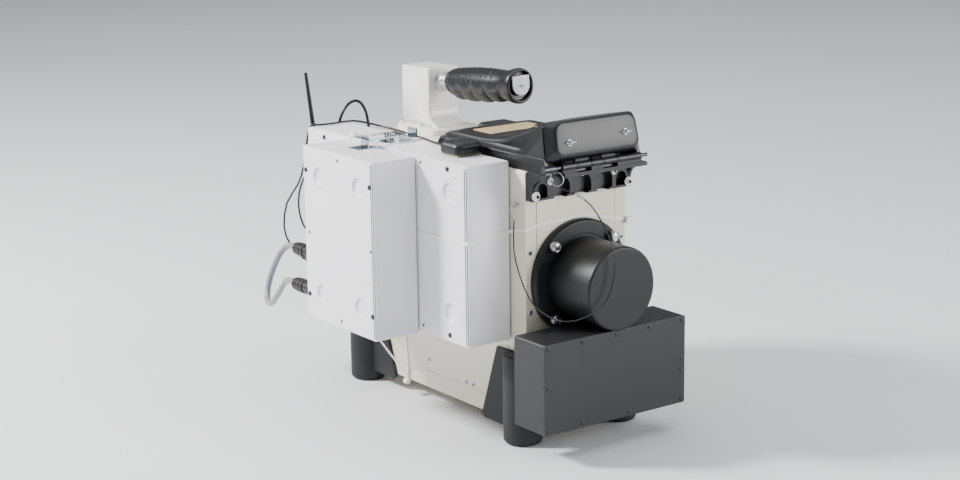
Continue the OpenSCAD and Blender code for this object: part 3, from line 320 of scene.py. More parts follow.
def add_block(shape: bmesh.types.BMesh, low: Point, high: Point, rounding: float = 0.0,
              segments: int = 3, turn: Matrix | None = None) -> list[bmesh.types.BMVert]:
    """Adds a block, its edges rounded.

    Args:
        shape: the mesh it joins.
        low: the block's lowest corner.
        high: its highest corner.
        rounding: radius of the edges.
        segments: steps round each edge.
        turn: a matrix that places the block.

    Returns:
        The block's vertices.
    """
    a, b = Vector(low), Vector(high)
    middle = Matrix.Translation((a + b) / 2) @ Matrix.Diagonal((*(b - a), 1.0))
    verts = bmesh.ops.create_cube(shape, size=1.0, matrix=(turn or Matrix()) @ middle)["verts"]
    if rounding <= 0:
        return verts
    edges = list({e for v in verts for e in v.link_edges})
    made = bmesh.ops.bevel(shape, geom=edges, offset=rounding, segments=segments, profile=0.5,
                           affect="EDGES", clamp_overlap=True)
    return list({v for f in made["faces"] for v in f.verts} | {v for v in verts if v.is_valid})


def add_lathe(shape: bmesh.types.BMesh, profile: Sequence[Pair], turn: Matrix, segments: int = 64,
              ring: bool = False) -> None:
    """Adds a turned solid.

    Args:
        shape: the mesh it joins.
        profile: (radius, height) points; a solid starts and ends at radius 0.
        turn: a matrix that takes the Z axis to the solid's own axis.
        segments: steps round the axis.
        ring: True where the profile is a closed loop, as on a washer.
    """
    loops: list[list[bmesh.types.BMVert]] = []
    for radius, height in profile:
        steps = 1 if radius < 1e-6 else segments
        loops.append([shape.verts.new(turn @ Vector((radius * math.cos(math.tau * i / segments),
                                                     radius * math.sin(math.tau * i / segments), height)))
                      for i in range(steps)])
    pairs = list(zip(loops, loops[1:])) + ([(loops[-1], loops[0])] if ring else [])
    for a, b in pairs:
        for i in range(segments):
            j = (i + 1) % segments
            corners = [a[i % len(a)], a[j % len(a)], b[j % len(b)], b[i % len(b)]]
            unique = list(dict.fromkeys(corners))
            if len(unique) > 2:
                shape.faces.new(unique)


def add_loft(shape: bmesh.types.BMesh, loops: Sequence[Sequence[Vector]],
             capped: bool = True) -> list[list[bmesh.types.BMVert]]:
    """Adds a skin over closed loops that have the same number of points.

    Args:
        shape: the mesh it joins.
        loops: the closed loops, in order.
        capped: whether the first and last loops are closed with faces.

    Returns:
        The vertices of each loop.
    """
    rows = [[shape.verts.new(p) for p in loop] for loop in loops]
    count = len(rows[0])
    for a, b in zip(rows, rows[1:]):
        for i in range(count):
            j = (i + 1) % count
            shape.faces.new((a[i], a[j], b[j], b[i]))
    if capped:
        shape.faces.new(rows[0])
        shape.faces.new(list(reversed(rows[-1])))
    return rows


def add_prism(shape: bmesh.types.BMesh, outline: Sequence[Pair], x0: float, x1: float) -> None:
    """Adds a prism: an outline in the YZ plane, drawn out from x0 to x1.

    Args:
        shape: the mesh it joins.
        outline: (y, z) corners in order.
        x0: where it starts along X.
        x1: where it ends along X.
    """
    add_loft(shape, [[Vector((x, y, z)) for y, z in outline] for x in (x0, x1)])


def add_tube(shape: bmesh.types.BMesh, path: Sequence[Vector], radius: float, sides: int = 16,
             closed: bool = False) -> None:
    """Adds a round bar that follows a path.

    Args:
        shape: the mesh it joins.
        path: the points of its middle line.
        radius: the bar's radius.
        sides: steps round it.
        closed: True where the path is a loop.
    """
    count = len(path)
    loops: list[list[Vector]] = []
    side: Vector | None = None
    for i, point in enumerate(path):
        before = path[i - 1] if i or closed else path[i]
        after = path[(i + 1) % count] if i < count - 1 or closed else path[i]
        along = (after - before).normalized()
        if side is None:
            side = along.orthogonal()
        side = (side - along * side.dot(along)).normalized()
        other = along.cross(side)
        loops.append([point + radius * (math.cos(math.tau * k / sides) * side
                                        + math.sin(math.tau * k / sides) * other) for k in range(sides)])
    rows = add_loft(shape, loops, capped=not closed)
    if closed:
        first, last = rows[0], rows[-1]
        best = min(range(sides), key=lambda s: (first[s].co - last[0].co).length)
        for i in range(sides):
            j = (i + 1) % sides
            shape.faces.new((last[i], last[j], first[(best + j) % sides], first[(best + i) % sides]))


def smooth_route(points: Sequence[Point], steps: int) -> list[Vector]:
    """Draws the smooth curve through given points.

    Args:
        points: the points it passes through.
        steps: pieces between two of them.

    Returns:
        Points along the curve.
    """
    p = [Vector(q) for q in points]
    last = len(p) - 1
    route: list[Vector] = []
    for i in range(last):
        a, b, c, d = p[max(i - 1, 0)], p[i], p[i + 1], p[min(i + 2, last)]
        for s in range(steps):
            t = s / steps
            route.append(0.5 * (2 * b + (c - a) * t + (2 * a - 5 * b + 4 * c - d) * t * t
                                + (3 * b - a - 3 * c + d) * t ** 3))
    return route + [p[last]]


def blend_height(table: Sequence[Pair], x: float) -> float:
    """Reads a smooth curve through (x, height) points given in rising x.

    Args:
        table: the points.
        x: where it is read.

    Returns:
        The height there.
    """
    if x <= table[0][0]:
        return table[0][1]
    for i in range(len(table) - 1):
        (x0, h0), (x1, h1) = table[i], table[i + 1]
        if x <= x1:
            before = table[max(i - 1, 0)]
            after = table[min(i + 2, len(table) - 1)]
            m0 = (h1 - before[1]) / (x1 - before[0])
            m1 = (after[1] - h0) / (after[0] - x0)
            w = x1 - x0
            t = (x - x0) / w
            return ((2 * t ** 3 - 3 * t ** 2 + 1) * h0 + (t ** 3 - 2 * t ** 2 + t) * w * m0
                    + (3 * t ** 2 - 2 * t ** 3) * h1 + (t ** 3 - t ** 2) * w * m1)
    return table[-1][1]


def ease(t: float) -> float:
    """Returns a smooth step from 0 to 1."""
    t = min(max(t, 0.0), 1.0)
    return t * t * (3 - 2 * t)


def rounded_outline(x0: float, x1: float, z0: float, z1: float, radius: float, steps: int = 6,
                    taper: float = 0.0) -> list[Pair]:
    """Draws a rectangle with round corners.

    Args:
        x0: left side.
        x1: right side.
        z0: bottom.
        z1: top.
        radius: radius of the corners.
        steps: pieces round each corner.
        taper: how much narrower each side is at the top.

    Returns:
        The outline's (x, z) points, anticlockwise from the right bottom corner.
    """
    corners = [(x1 - radius, z0 + radius, -90), (x1 - radius, z1 - radius, 0),
               (x0 + radius, z1 - radius, 90), (x0 + radius, z0 + radius, 180)]
    points: list[Pair] = []
    for cx, cz, start in corners:
        for i in range(steps + 1):
            a = math.radians(start + 90 * i / steps)
            x, z = cx + radius * math.cos(a), cz + radius * math.sin(a)
            lift = (z - z0) / (z1 - z0)
            points.append((x - math.copysign(taper * lift, x - (x0 + x1) / 2), z))
    return points


def close(shape: bmesh.types.BMesh) -> None:
    """Merges a shape's doubled points and turns its faces outwards."""
    bmesh.ops.remove_doubles(shape, verts=shape.verts, dist=MERGE_MM)
    bmesh.ops.recalc_face_normals(shape, faces=shape.faces)


def as_object(name: str, shape: bmesh.types.BMesh) -> bpy.types.Object:
    """Puts a drawn shape in the scene as an object.

    Args:
        name: the name of the object and its mesh.
        shape: the shape, which is used up.

    Returns:
        The object.
    """
    mesh = bpy.data.meshes.new(name)
    shape.to_mesh(mesh)
    shape.free()
    return link(bpy.data.objects.new(name, mesh))


def shade(obj: bpy.types.Object, crease: float) -> None:
    """Smooths an object's faces, apart from edges sharper than the crease angle in degrees."""
    for poly in obj.data.polygons:
        poly.use_smooth = True
    obj.data.set_sharp_from_angle(angle=math.radians(crease))


def link(obj: bpy.types.Object) -> bpy.types.Object:
    """Puts an object in the scene and returns it."""
    bpy.context.scene.collection.objects.link(obj)
    return obj


def freeze(obj: bpy.types.Object) -> bpy.types.Object:
    """Turns an object's modifiers into a plain mesh.

    Args:
        obj: the object.

    Returns:
        The same object, with the result as its mesh and no modifiers.
    """
    graph = bpy.context.evaluated_depsgraph_get()
    made = bpy.data.meshes.new_from_object(obj.evaluated_get(graph), preserve_all_data_layers=True,
                                           depsgraph=graph)
    obj.modifiers.clear()
    old = obj.data
    obj.data = made
    bpy.data.meshes.remove(old)
    made.name = obj.name
    return obj


def soften(obj: bpy.types.Object, width_mm: float, angle: float = 30.0, segments: int = 3) -> None:
    """Rounds an object's sharp edges and evens its shading.

    Args:
        obj: the object, already in metres.
        width_mm: width of the rounding.
        angle: edges sharper than this are rounded, in degrees.
        segments: steps round each edge.
    """
    if width_mm > 0:
        bevel = obj.modifiers.new("rounded edges", "BEVEL")
        bevel.width = width_mm * MM
        bevel.segments = segments
        bevel.limit_method = "ANGLE"
        bevel.angle_limit = math.radians(angle)
        bevel.miter_outer = "MITER_ARC"
    even = obj.modifiers.new("even shading", "WEIGHTED_NORMAL")
    even.keep_sharp = True
    freeze(obj)


def make_piece(name: str, shape: bmesh.types.BMesh, finish: Finish, body: str,
               stands_for: Iterable[str] = (), edge: float = 0.0, crease: float = 40.0) -> bpy.types.Object:
    """Turns a shape drawn in millimetres into a finished piece of the object.

    Args:
        name: the piece's name.
        shape: its mesh, which is used up.
        finish: its surface finish.
        body: the frame body that it moves with.
        stands_for: the CAD nodes that it replaces.
        edge: width of the rounding on its sharp edges.
        crease: edges sharper than this stay crisp in the shading, in degrees.

    Returns:
        The piece.
    """
    close(shape)
    shape.transform(TO_FRAME)
    obj = as_object(name, shape)
    shade(obj, crease)
    obj.data.materials.append(finish.material())
    soften(obj, edge)
    return settle(obj, body, stands_for)


def settle(obj: bpy.types.Object, body: str, stands_for: Iterable[str] = ()) -> bpy.types.Object:
    """Rides a finished object on its body and hides what it stands for.

    Args:
        obj: the finished object.
        body: the frame body that it moves with.
        stands_for: the CAD nodes that it replaces.

    Returns:
        The object.
    """
    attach(obj, body)
    nodes = list(stands_for)
    if nodes:
        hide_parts(*nodes)
    log.info("%s on %s, %d faces", obj.name, body, len(getattr(obj.data, "polygons", ())))
    return obj


def carve(obj: bpy.types.Object, cutter: bmesh.types.BMesh, overlapping: bool = False) -> None:
    """Cuts a shape out of an object.

    Args:
        obj: the object, in the frame's metres.
        cutter: the shape to cut away, in millimetres; it is used up.
        overlapping: whether the object's own parts overlap, and are to be joined.
    """
    bmesh.ops.recalc_face_normals(cutter, faces=cutter.faces)
    cutter.transform(TO_FRAME)
    tool = as_object("cutter", cutter)
    cut = obj.modifiers.new("cut", "BOOLEAN")
    cut.operation = "DIFFERENCE"
    cut.solver = "EXACT"
    cut.object = tool
    cut.use_self = overlapping
    freeze(obj)
    bpy.data.objects.remove(tool)


def refine(node: str, name: str, finish: Finish, body: str = "case", edge: float = 0.6,
           cutter: bmesh.types.BMesh | None = None) -> bpy.types.Object:
    """Makes a piece from a copy of a CAD node, with its edges rounded.

    Args:
        node: the CAD node, which the piece stands for.
        name: the piece's name.
        finish: its surface finish.
        body: the frame body that it moves with.
        edge: width of the rounding, in millimetres.
        cutter: a shape in millimetres to cut out of it first.

    Returns:
        The piece.
    """
    shape = bmesh.new()
    shape.from_mesh(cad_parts[node].data)
    bmesh.ops.remove_doubles(shape, verts=shape.verts, dist=2e-6)
    bmesh.ops.dissolve_limit(shape, angle_limit=math.radians(0.5), verts=shape.verts, edges=shape.edges)
    obj = as_object(name, shape)
    if cutter:
        carve(obj, cutter)
    shade(obj, 30)
    obj.data.materials.clear()
    obj.data.materials.append(finish.material())
    soften(obj, edge, segments=2)
    return settle(obj, body, [node])


def dress(node: str, finish: Finish) -> None:
    """Gives a CAD node that stays as it is its finish.

    Args:
        node: the node's name.
        finish: its surface finish.
    """
    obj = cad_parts[node]
    for slot in obj.material_slots:
        slot.material = finish.material()


# ---------------------------------------------------------------- geometry node trees


def set_inputs(modifier: bpy.types.NodesModifier, values: dict[str, object]) -> None:
    """Sets a tree's named inputs through their socket identifiers.

    Args:
        modifier: the modifier that runs the tree.
        values: input name to value.
    """
    for item in modifier.node_group.interface.items_tree:
        if item.item_type == "SOCKET" and item.in_out == "INPUT" and item.name in values:
            modifier[item.identifier] = values[item.name]


def new_tree(name: str, inputs: Sequence[tuple[str, str]]) -> tuple[bpy.types.NodeTree, bpy.types.Node]:
    """Starts a geometry tree.

    Args:
        name: the tree's name.
        inputs: (name, socket type) of each input after the geometry.

    Returns:
        The tree and its input node.
    """
    tree = bpy.data.node_groups.new(name, "GeometryNodeTree")
    tree.interface.new_socket("Geometry", in_out="INPUT", socket_type="NodeSocketGeometry")
    for label, kind in inputs:
        tree.interface.new_socket(label, in_out="INPUT", socket_type=kind)
    tree.interface.new_socket("Geometry", in_out="OUTPUT", socket_type="NodeSocketGeometry")
    return tree, add(tree, "NodeGroupInput")


def end_tree(tree: bpy.types.NodeTree, geometry: bpy.types.NodeSocket, finish: bpy.types.NodeSocket) -> None:
    """Ends a tree in Realize Instances and Set Material.

    Args:
        tree: the tree.
        geometry: what it made.
        finish: the input that holds the material.
    """
    real = add(tree, "GeometryNodeRealizeInstances", {"Geometry": geometry})
    painted = add(tree, "GeometryNodeSetMaterial", {"Geometry": real.outputs["Geometry"], "Material": finish})
    add(tree, "NodeGroupOutput", {"Geometry": painted.outputs["Geometry"]})


def fittings_tree() -> bpy.types.NodeTree:
    """Builds the tree that sets one fitting on every point, facing the way the point says.

    Returns:
        The tree. Its inputs are the fitting's object and the finish; each point has 'facing' and 'size'.
    """
    name = "fittings on points"
    if name in bpy.data.node_groups:
        return bpy.data.node_groups[name]
    tree, given = new_tree(name, [("Fitting", "NodeSocketObject"), ("Finish", "NodeSocketMaterial")])
    facing = add(tree, "GeometryNodeInputNamedAttribute", {"Name": "facing"}, data_type="FLOAT_VECTOR")
    size = add(tree, "GeometryNodeInputNamedAttribute", {"Name": "size"}, data_type="FLOAT")
    turned = add(tree, "FunctionNodeAlignRotationToVector", {"Vector": facing.outputs["Attribute"]}, axis="Z")
    part = add(tree, "GeometryNodeObjectInfo", {"Object": given.outputs["Fitting"]})
    set_on = add(tree, "GeometryNodeInstanceOnPoints", {
        "Points": given.outputs["Geometry"], "Instance": part.outputs["Geometry"],
        "Rotation": turned.outputs["Rotation"], "Scale": size.outputs["Attribute"],
    })
    end_tree(tree, set_on.outputs["Instances"], given.outputs["Finish"])
    return tree


def ridges_tree() -> bpy.types.NodeTree:
    """Builds the tree that sets even ridges round a turned part, as on a knurled head.

    Returns:
        The tree. The part's axis is Z and its sizes are in millimetres.
    """
    name = "ridges round a turned part"
    if name in bpy.data.node_groups:
        return bpy.data.node_groups[name]
    tree, given = new_tree(name, [("Ridges", "NodeSocketInt"), ("Ring radius", "NodeSocketFloat"),
                                  ("Ridge size", "NodeSocketVector"), ("Lift", "NodeSocketVector"),
                                  ("Finish", "NodeSocketMaterial")])
    ring = add(tree, "GeometryNodeMeshCircle",
               {"Vertices": given.outputs["Ridges"], "Radius": given.outputs["Ring radius"]})
    ridge = add(tree, "GeometryNodeMeshCube", {"Size": given.outputs["Ridge size"]})
    raised = add(tree, "GeometryNodeTransform",
                 {"Geometry": ridge.outputs["Mesh"], "Translation": given.outputs["Lift"]})
    index = add(tree, "GeometryNodeInputIndex").outputs["Index"]
    step = add(tree, "ShaderNodeMath", {0: math.tau, 1: given.outputs["Ridges"]}, operation="DIVIDE")
    angle = add(tree, "ShaderNodeMath", {0: index, 1: step.outputs["Value"]}, operation="MULTIPLY")
    spin = add(tree, "ShaderNodeCombineXYZ", {"Z": angle.outputs["Value"]})
    set_on = add(tree, "GeometryNodeInstanceOnPoints", {
        "Points": ring.outputs["Mesh"], "Instance": raised.outputs["Geometry"],
        "Rotation": spin.outputs["Vector"],
    })
    both = add(tree, "GeometryNodeJoinGeometry", {"Geometry": given.outputs["Geometry"]})
    tree.links.new(set_on.outputs["Instances"], both.inputs["Geometry"])
    end_tree(tree, both.outputs["Geometry"], given.outputs["Finish"])
    return tree


def fittings(name: str, fitting: bmesh.types.BMesh, spots: Sequence[tuple[Point, Point, float]],
             finish: Finish, body: str, stands_for: Iterable[str] = ()) -> bpy.types.Object:
    """Sets copies of one small fitting on a row of spots.

    Args:
        name: the piece's name.
        fitting: the fitting's mesh, its base at the origin and its axis +Z, which is used up.
        spots: (place, facing, size) of each copy, in millimetres.
        finish: the surface finish.
        body: the frame body that they move with.
        stands_for: the CAD nodes that they replace.

    Returns:
        The piece, one plain mesh.
    """
    close(fitting)
    pattern = as_object(name + "_pattern", fitting)
    mesh = bpy.data.meshes.new(name)
    mesh.from_pydata([Vector(place) for place, _, _ in spots], [], [])
    mesh.attributes.new("facing", "FLOAT_VECTOR", "POINT").data.foreach_set(
        "vector", [c for _, facing, _ in spots for c in facing])
    mesh.attributes.new("size", "FLOAT", "POINT").data.foreach_set("value", [size for _, _, size in spots])
    obj = link(bpy.data.objects.new(name, mesh))
    modifier = obj.modifiers.new("fittings", "NODES")
    modifier.node_group = fittings_tree()
    set_inputs(modifier, {"Fitting": pattern, "Finish": finish.material()})
    freeze(obj)
    bpy.data.objects.remove(pattern)
    return land(obj, finish, body, stands_for)


def ridged(name: str, turned: bmesh.types.BMesh, turn: Matrix, ridges: int, radius: float, size: Point,
           lift: float, finish: Finish, body: str, stands_for: Iterable[str] = ()) -> bpy.types.Object:
    """Makes a turned part with even ridges round it.

    Args:
        name: the piece's name.
        turned: the plain turned mesh on the Z axis, in millimetres, which is used up.
        turn: the matrix that takes it to its place.
        ridges: how many ridges.
        radius: radius of the ring that their middles lie on.
        size: a ridge's depth, width and length.
        lift: height of the ridges' middle along the axis.
        finish: the surface finish.
        body: the frame body that it moves with.
        stands_for: the CAD nodes that it replaces.

    Returns:
        The piece, one plain mesh.
    """
    close(turned)
    obj = as_object(name, turned)
    modifier = obj.modifiers.new("ridges", "NODES")
    modifier.node_group = ridges_tree()
    set_inputs(modifier, {"Ridges": ridges, "Ring radius": radius, "Ridge size": size,
                          "Lift": (0.0, 0.0, lift), "Finish": finish.material()})
    freeze(obj)
    obj.data.transform(turn)
    return land(obj, finish, body, stands_for)


def land(obj: bpy.types.Object, finish: Finish, body: str, stands_for: Iterable[str]) -> bpy.types.Object:
    """Takes a piece made by a geometry tree from millimetres to the frame and settles it.

    Args:
        obj: the piece, in millimetres.
        finish: its surface finish.
        body: the frame body that it moves with.
        stands_for: the CAD nodes that it replaces.

    Returns:
        The piece.
    """
    obj.data.transform(TO_FRAME)
    shade(obj, 35)
    if not obj.data.materials:
        obj.data.materials.append(finish.material())
    return settle(obj, body, stands_for)


def facing(direction: Point) -> Matrix:
    """Returns the rotation that takes +Z to a direction."""
    return Vector(direction).to_track_quat("Z", "Y").to_matrix().to_4x4()


def at(place: Point, direction: Point = (0, 0, 1)) -> Matrix:
    """Returns the matrix that takes the origin to a place and +Z to a direction."""
    return Matrix.Translation(place) @ facing(direction)


def pan_head() -> bmesh.types.BMesh:
    """Draws a cross-slotted pan head 1 mm in radius, its base at the origin.

    Returns:
        The mesh.
    """
    shape = bmesh.new()
    segments, rings, height = 24, 7, 0.55
    rows: list[list[bmesh.types.BMVert]] = []
    for k in range(rings + 1):
        radius = math.sin(math.pi / 2 * k / rings)
        dome = height * (0.35 + 0.65 * math.sqrt(max(1 - radius ** 2, 0.0)))
        row = []
        for i in range(segments if k else 1):
            a = math.tau * i / segments
            x, y = radius * math.cos(a), radius * math.sin(a)
            in_slot = radius < 0.62 and min(abs(x), abs(y)) < 0.17
            row.append(shape.verts.new((x, y, dome - (0.3 if in_slot else 0.0))))
        rows.append(row)
    rows.append([shape.verts.new((v.co.x, v.co.y, 0.0)) for v in rows[-1]])
    for a, b in zip(rows, rows[1:]):
        for i in range(segments):
            j = (i + 1) % segments
            corners = [a[i % len(a)], a[j % len(a)], b[j], b[i]]
            shape.faces.new(list(dict.fromkeys(corners)))
    shape.faces.new(rows[-1])
    return shape


def lathed(*parts: tuple[int, Sequence[Pair]]) -> bmesh.types.BMesh:
    """Draws a small fitting from turned parts on the Z axis.

    Args:
        parts: the steps round each part, and its (radius, height) profile.

    Returns:
        The mesh.
    """
    shape = bmesh.new()
    for segments, profile in parts:
        add_lathe(shape, profile, Matrix(), segments)
    return shape


def cup_washer_head() -> bmesh.types.BMesh:
    """Draws a low cup washer, 1 mm in radius, its base at the origin."""
    return lathed((28, [(0, -0.05), (0.96, -0.05), (1, 0.0), (1, 0.12), (0.9, 0.24), (0.62, 0.28), (0.52, 0.16),
                        (0, 0.16)]))


def socket_bore() -> bmesh.types.BMesh:
    """Draws a dark disc in the drive socket of a screw whose washer is 1 mm in radius: painted shade of the
    socket.
    """
    return lathed((16, [(0, 0.05), (0.42, 0.05), (0.42, 0.26), (0.36, 0.3), (0.24, 0.3), (0.2, 0.2), (0, 0.2)]))


def socket_head() -> bmesh.types.BMesh:
    """Draws a washer with a low socket head in it, 1 mm in radius over the washer."""
    return lathed((32, [(0, 0), (0.94, 0), (1, 0.06), (1, 0.2), (0.95, 0.27), (0, 0.27)]),
                  (24, [(0, 0.2), (0.6, 0.2), (0.6, 0.66), (0.55, 0.74), (0.36, 0.74), (0.33, 0.7), (0.33, 0.3),
                        (0, 0.3)]))


def socket_plug() -> bmesh.types.BMesh:
    """Draws the dark plug that fills the drive socket in the middle of `socket_head`: painted shade of the socket.
    """
    return lathed((16, [(0, 0.3), (0.4, 0.3), (0.4, 0.8), (0.34, 0.84), (0.2, 0.84), (0.17, 0.6), (0, 0.6)]))


def dot() -> bmesh.types.BMesh:
    """Draws a raised dot 1 mm in radius with a dimple in its middle."""
    return lathed((12, [(0, -0.3), (1, -0.3), (0.95, 0.12), (0.72, 0.34), (0.45, 0.3), (0.25, 0.1), (0, 0.05)]))


# ---------------------------------------------------------------- studio


@dataclass
class Studio:
    """Floor, soft lights and the camera."""

    floor_half: float = 30.0
    camera_place: Point = (-1598.864, -1986.560, 869.577)
    yaw: float = -35.95
    pitch: float = 13.25
    roll: float = -0.77
    lens: float = 73.75
    sensor: float = 36.0
    surround: str = "#e9edf2"
    surround_strength: float = 0.34
    aim: Point = (0.0, 0.0, 0.25)
    # Name, place and side in metres, and power in watts of each softbox
    softboxes: Sequence[tuple[str, Point, float, float]] = (
        ("key", (-2.0, 1.5, 1.95), 0.5, 200.0), ("front_fill", (1.9, -2.5, 1.0), 1.5, 88.0),
        ("overhead", (0.0, 0.4, 5.5), 8.0, 300.0))

    def build(self) -> None:
        """Makes the camera first, then the floor, the world and the lights."""
        self._camera()
        self._floor()
        self._world()
        for softbox in self.softboxes:
            self._softbox(*softbox)

    def _camera(self) -> None:
        """Sets the camera: a long lens, looking down on the front left corner."""
        data = bpy.data.cameras.new("camera")
        data.lens = self.lens
        data.sensor_width = self.sensor
        data.clip_end = 100.0
        camera = link(bpy.data.objects.new("camera", data))
        yaw, pitch, roll = (math.radians(a) for a in (self.yaw, self.pitch, self.roll))
        back = Vector((math.sin(yaw) * math.cos(pitch), -math.cos(yaw) * math.cos(pitch), math.sin(pitch)))
        level = (-back).cross(Vector((0, 0, 1))).normalized()
        above = level.cross(-back)
        right = math.cos(roll) * level + math.sin(roll) * above
        up = -math.sin(roll) * level + math.cos(roll) * above
        axes = Matrix((right, up, back)).transposed().to_4x4()
        camera.matrix_world = Matrix.Translation(ORIGIN + Vector(self.camera_place) * MM) @ axes
        bpy.context.scene.camera = camera

    def _floor(self) -> None:
        """Makes the pale floor."""
        mesh = bpy.data.meshes.new("floor")
        s = self.floor_half
        mesh.from_pydata([(-s, -s, 0), (s, -s, 0), (s, s, 0), (-s, s, 0)], [], [(0, 1, 2, 3)])
        mesh.materials.append(STUDIO_FLOOR.material())
        link(bpy.data.objects.new("floor", mesh))

    def _world(self) -> None:
        """Sets an even pale surround."""
        world = bpy.data.worlds.new("studio")
        world.use_nodes = True
        world.node_tree.nodes.clear()
        light = add(world.node_tree, "ShaderNodeBackground",
                    {"Color": srgb(self.surround), "Strength": self.surround_strength})
        add(world.node_tree, "ShaderNodeOutputWorld", {"Surface": light.outputs["Background"]})
        bpy.context.scene.world = world

    def _softbox(self, name: str, place: Point, size: float, power: float) -> None:
        """Adds one square softbox aimed at the object's middle.

        Args:
            name: its name.
            place: where it stands, in metres.
            size: its side, in metres.
            power: its power, in watts.
        """
        data = bpy.data.lights.new(name, "AREA")
        data.size = size
        data.energy = power
        lamp = link(bpy.data.objects.new(name, data))
        lamp.location = place
        lamp.rotation_euler = (Vector(self.aim) - Vector(place)).to_track_quat("-Z", "Y").to_euler()


# ---------------------------------------------------------------- cables


@dataclass
class Route:
    """One cable's given route and size, in millimetres."""

    name: str
    points: Sequence[Point]
    diameter: float
    finish: Finish
    stiffness: str
    steps: int
    far_end: str = "object"
    node: str = "coax_leads"
    with_pieces: list[bpy.types.Object] = field(default_factory=list)

    def build(self) -> bpy.types.Object:
        """Returns:
            The cable.
        """
        path = [ORIGIN + p * MM for p in smooth_route(self.points, self.steps)]
        data = bpy.data.curves.new(self.name, "CURVE")
        data.dimensions = "3D"
        data.bevel_depth = self.diameter / 2 * MM
        data.bevel_resolution = 4
        data.use_fill_caps = True
        data.resolution_u = 6
        spline = data.splines.new("POLY")
        spline.points.add(len(path) - 1)
        for slot, p in zip(spline.points, path):
            slot.co = (*p, 1.0)
        data.materials.append(self.finish.material())
        obj = link(bpy.data.objects.new(self.name, data))
        settle(obj, "case", [self.node])
        return obj


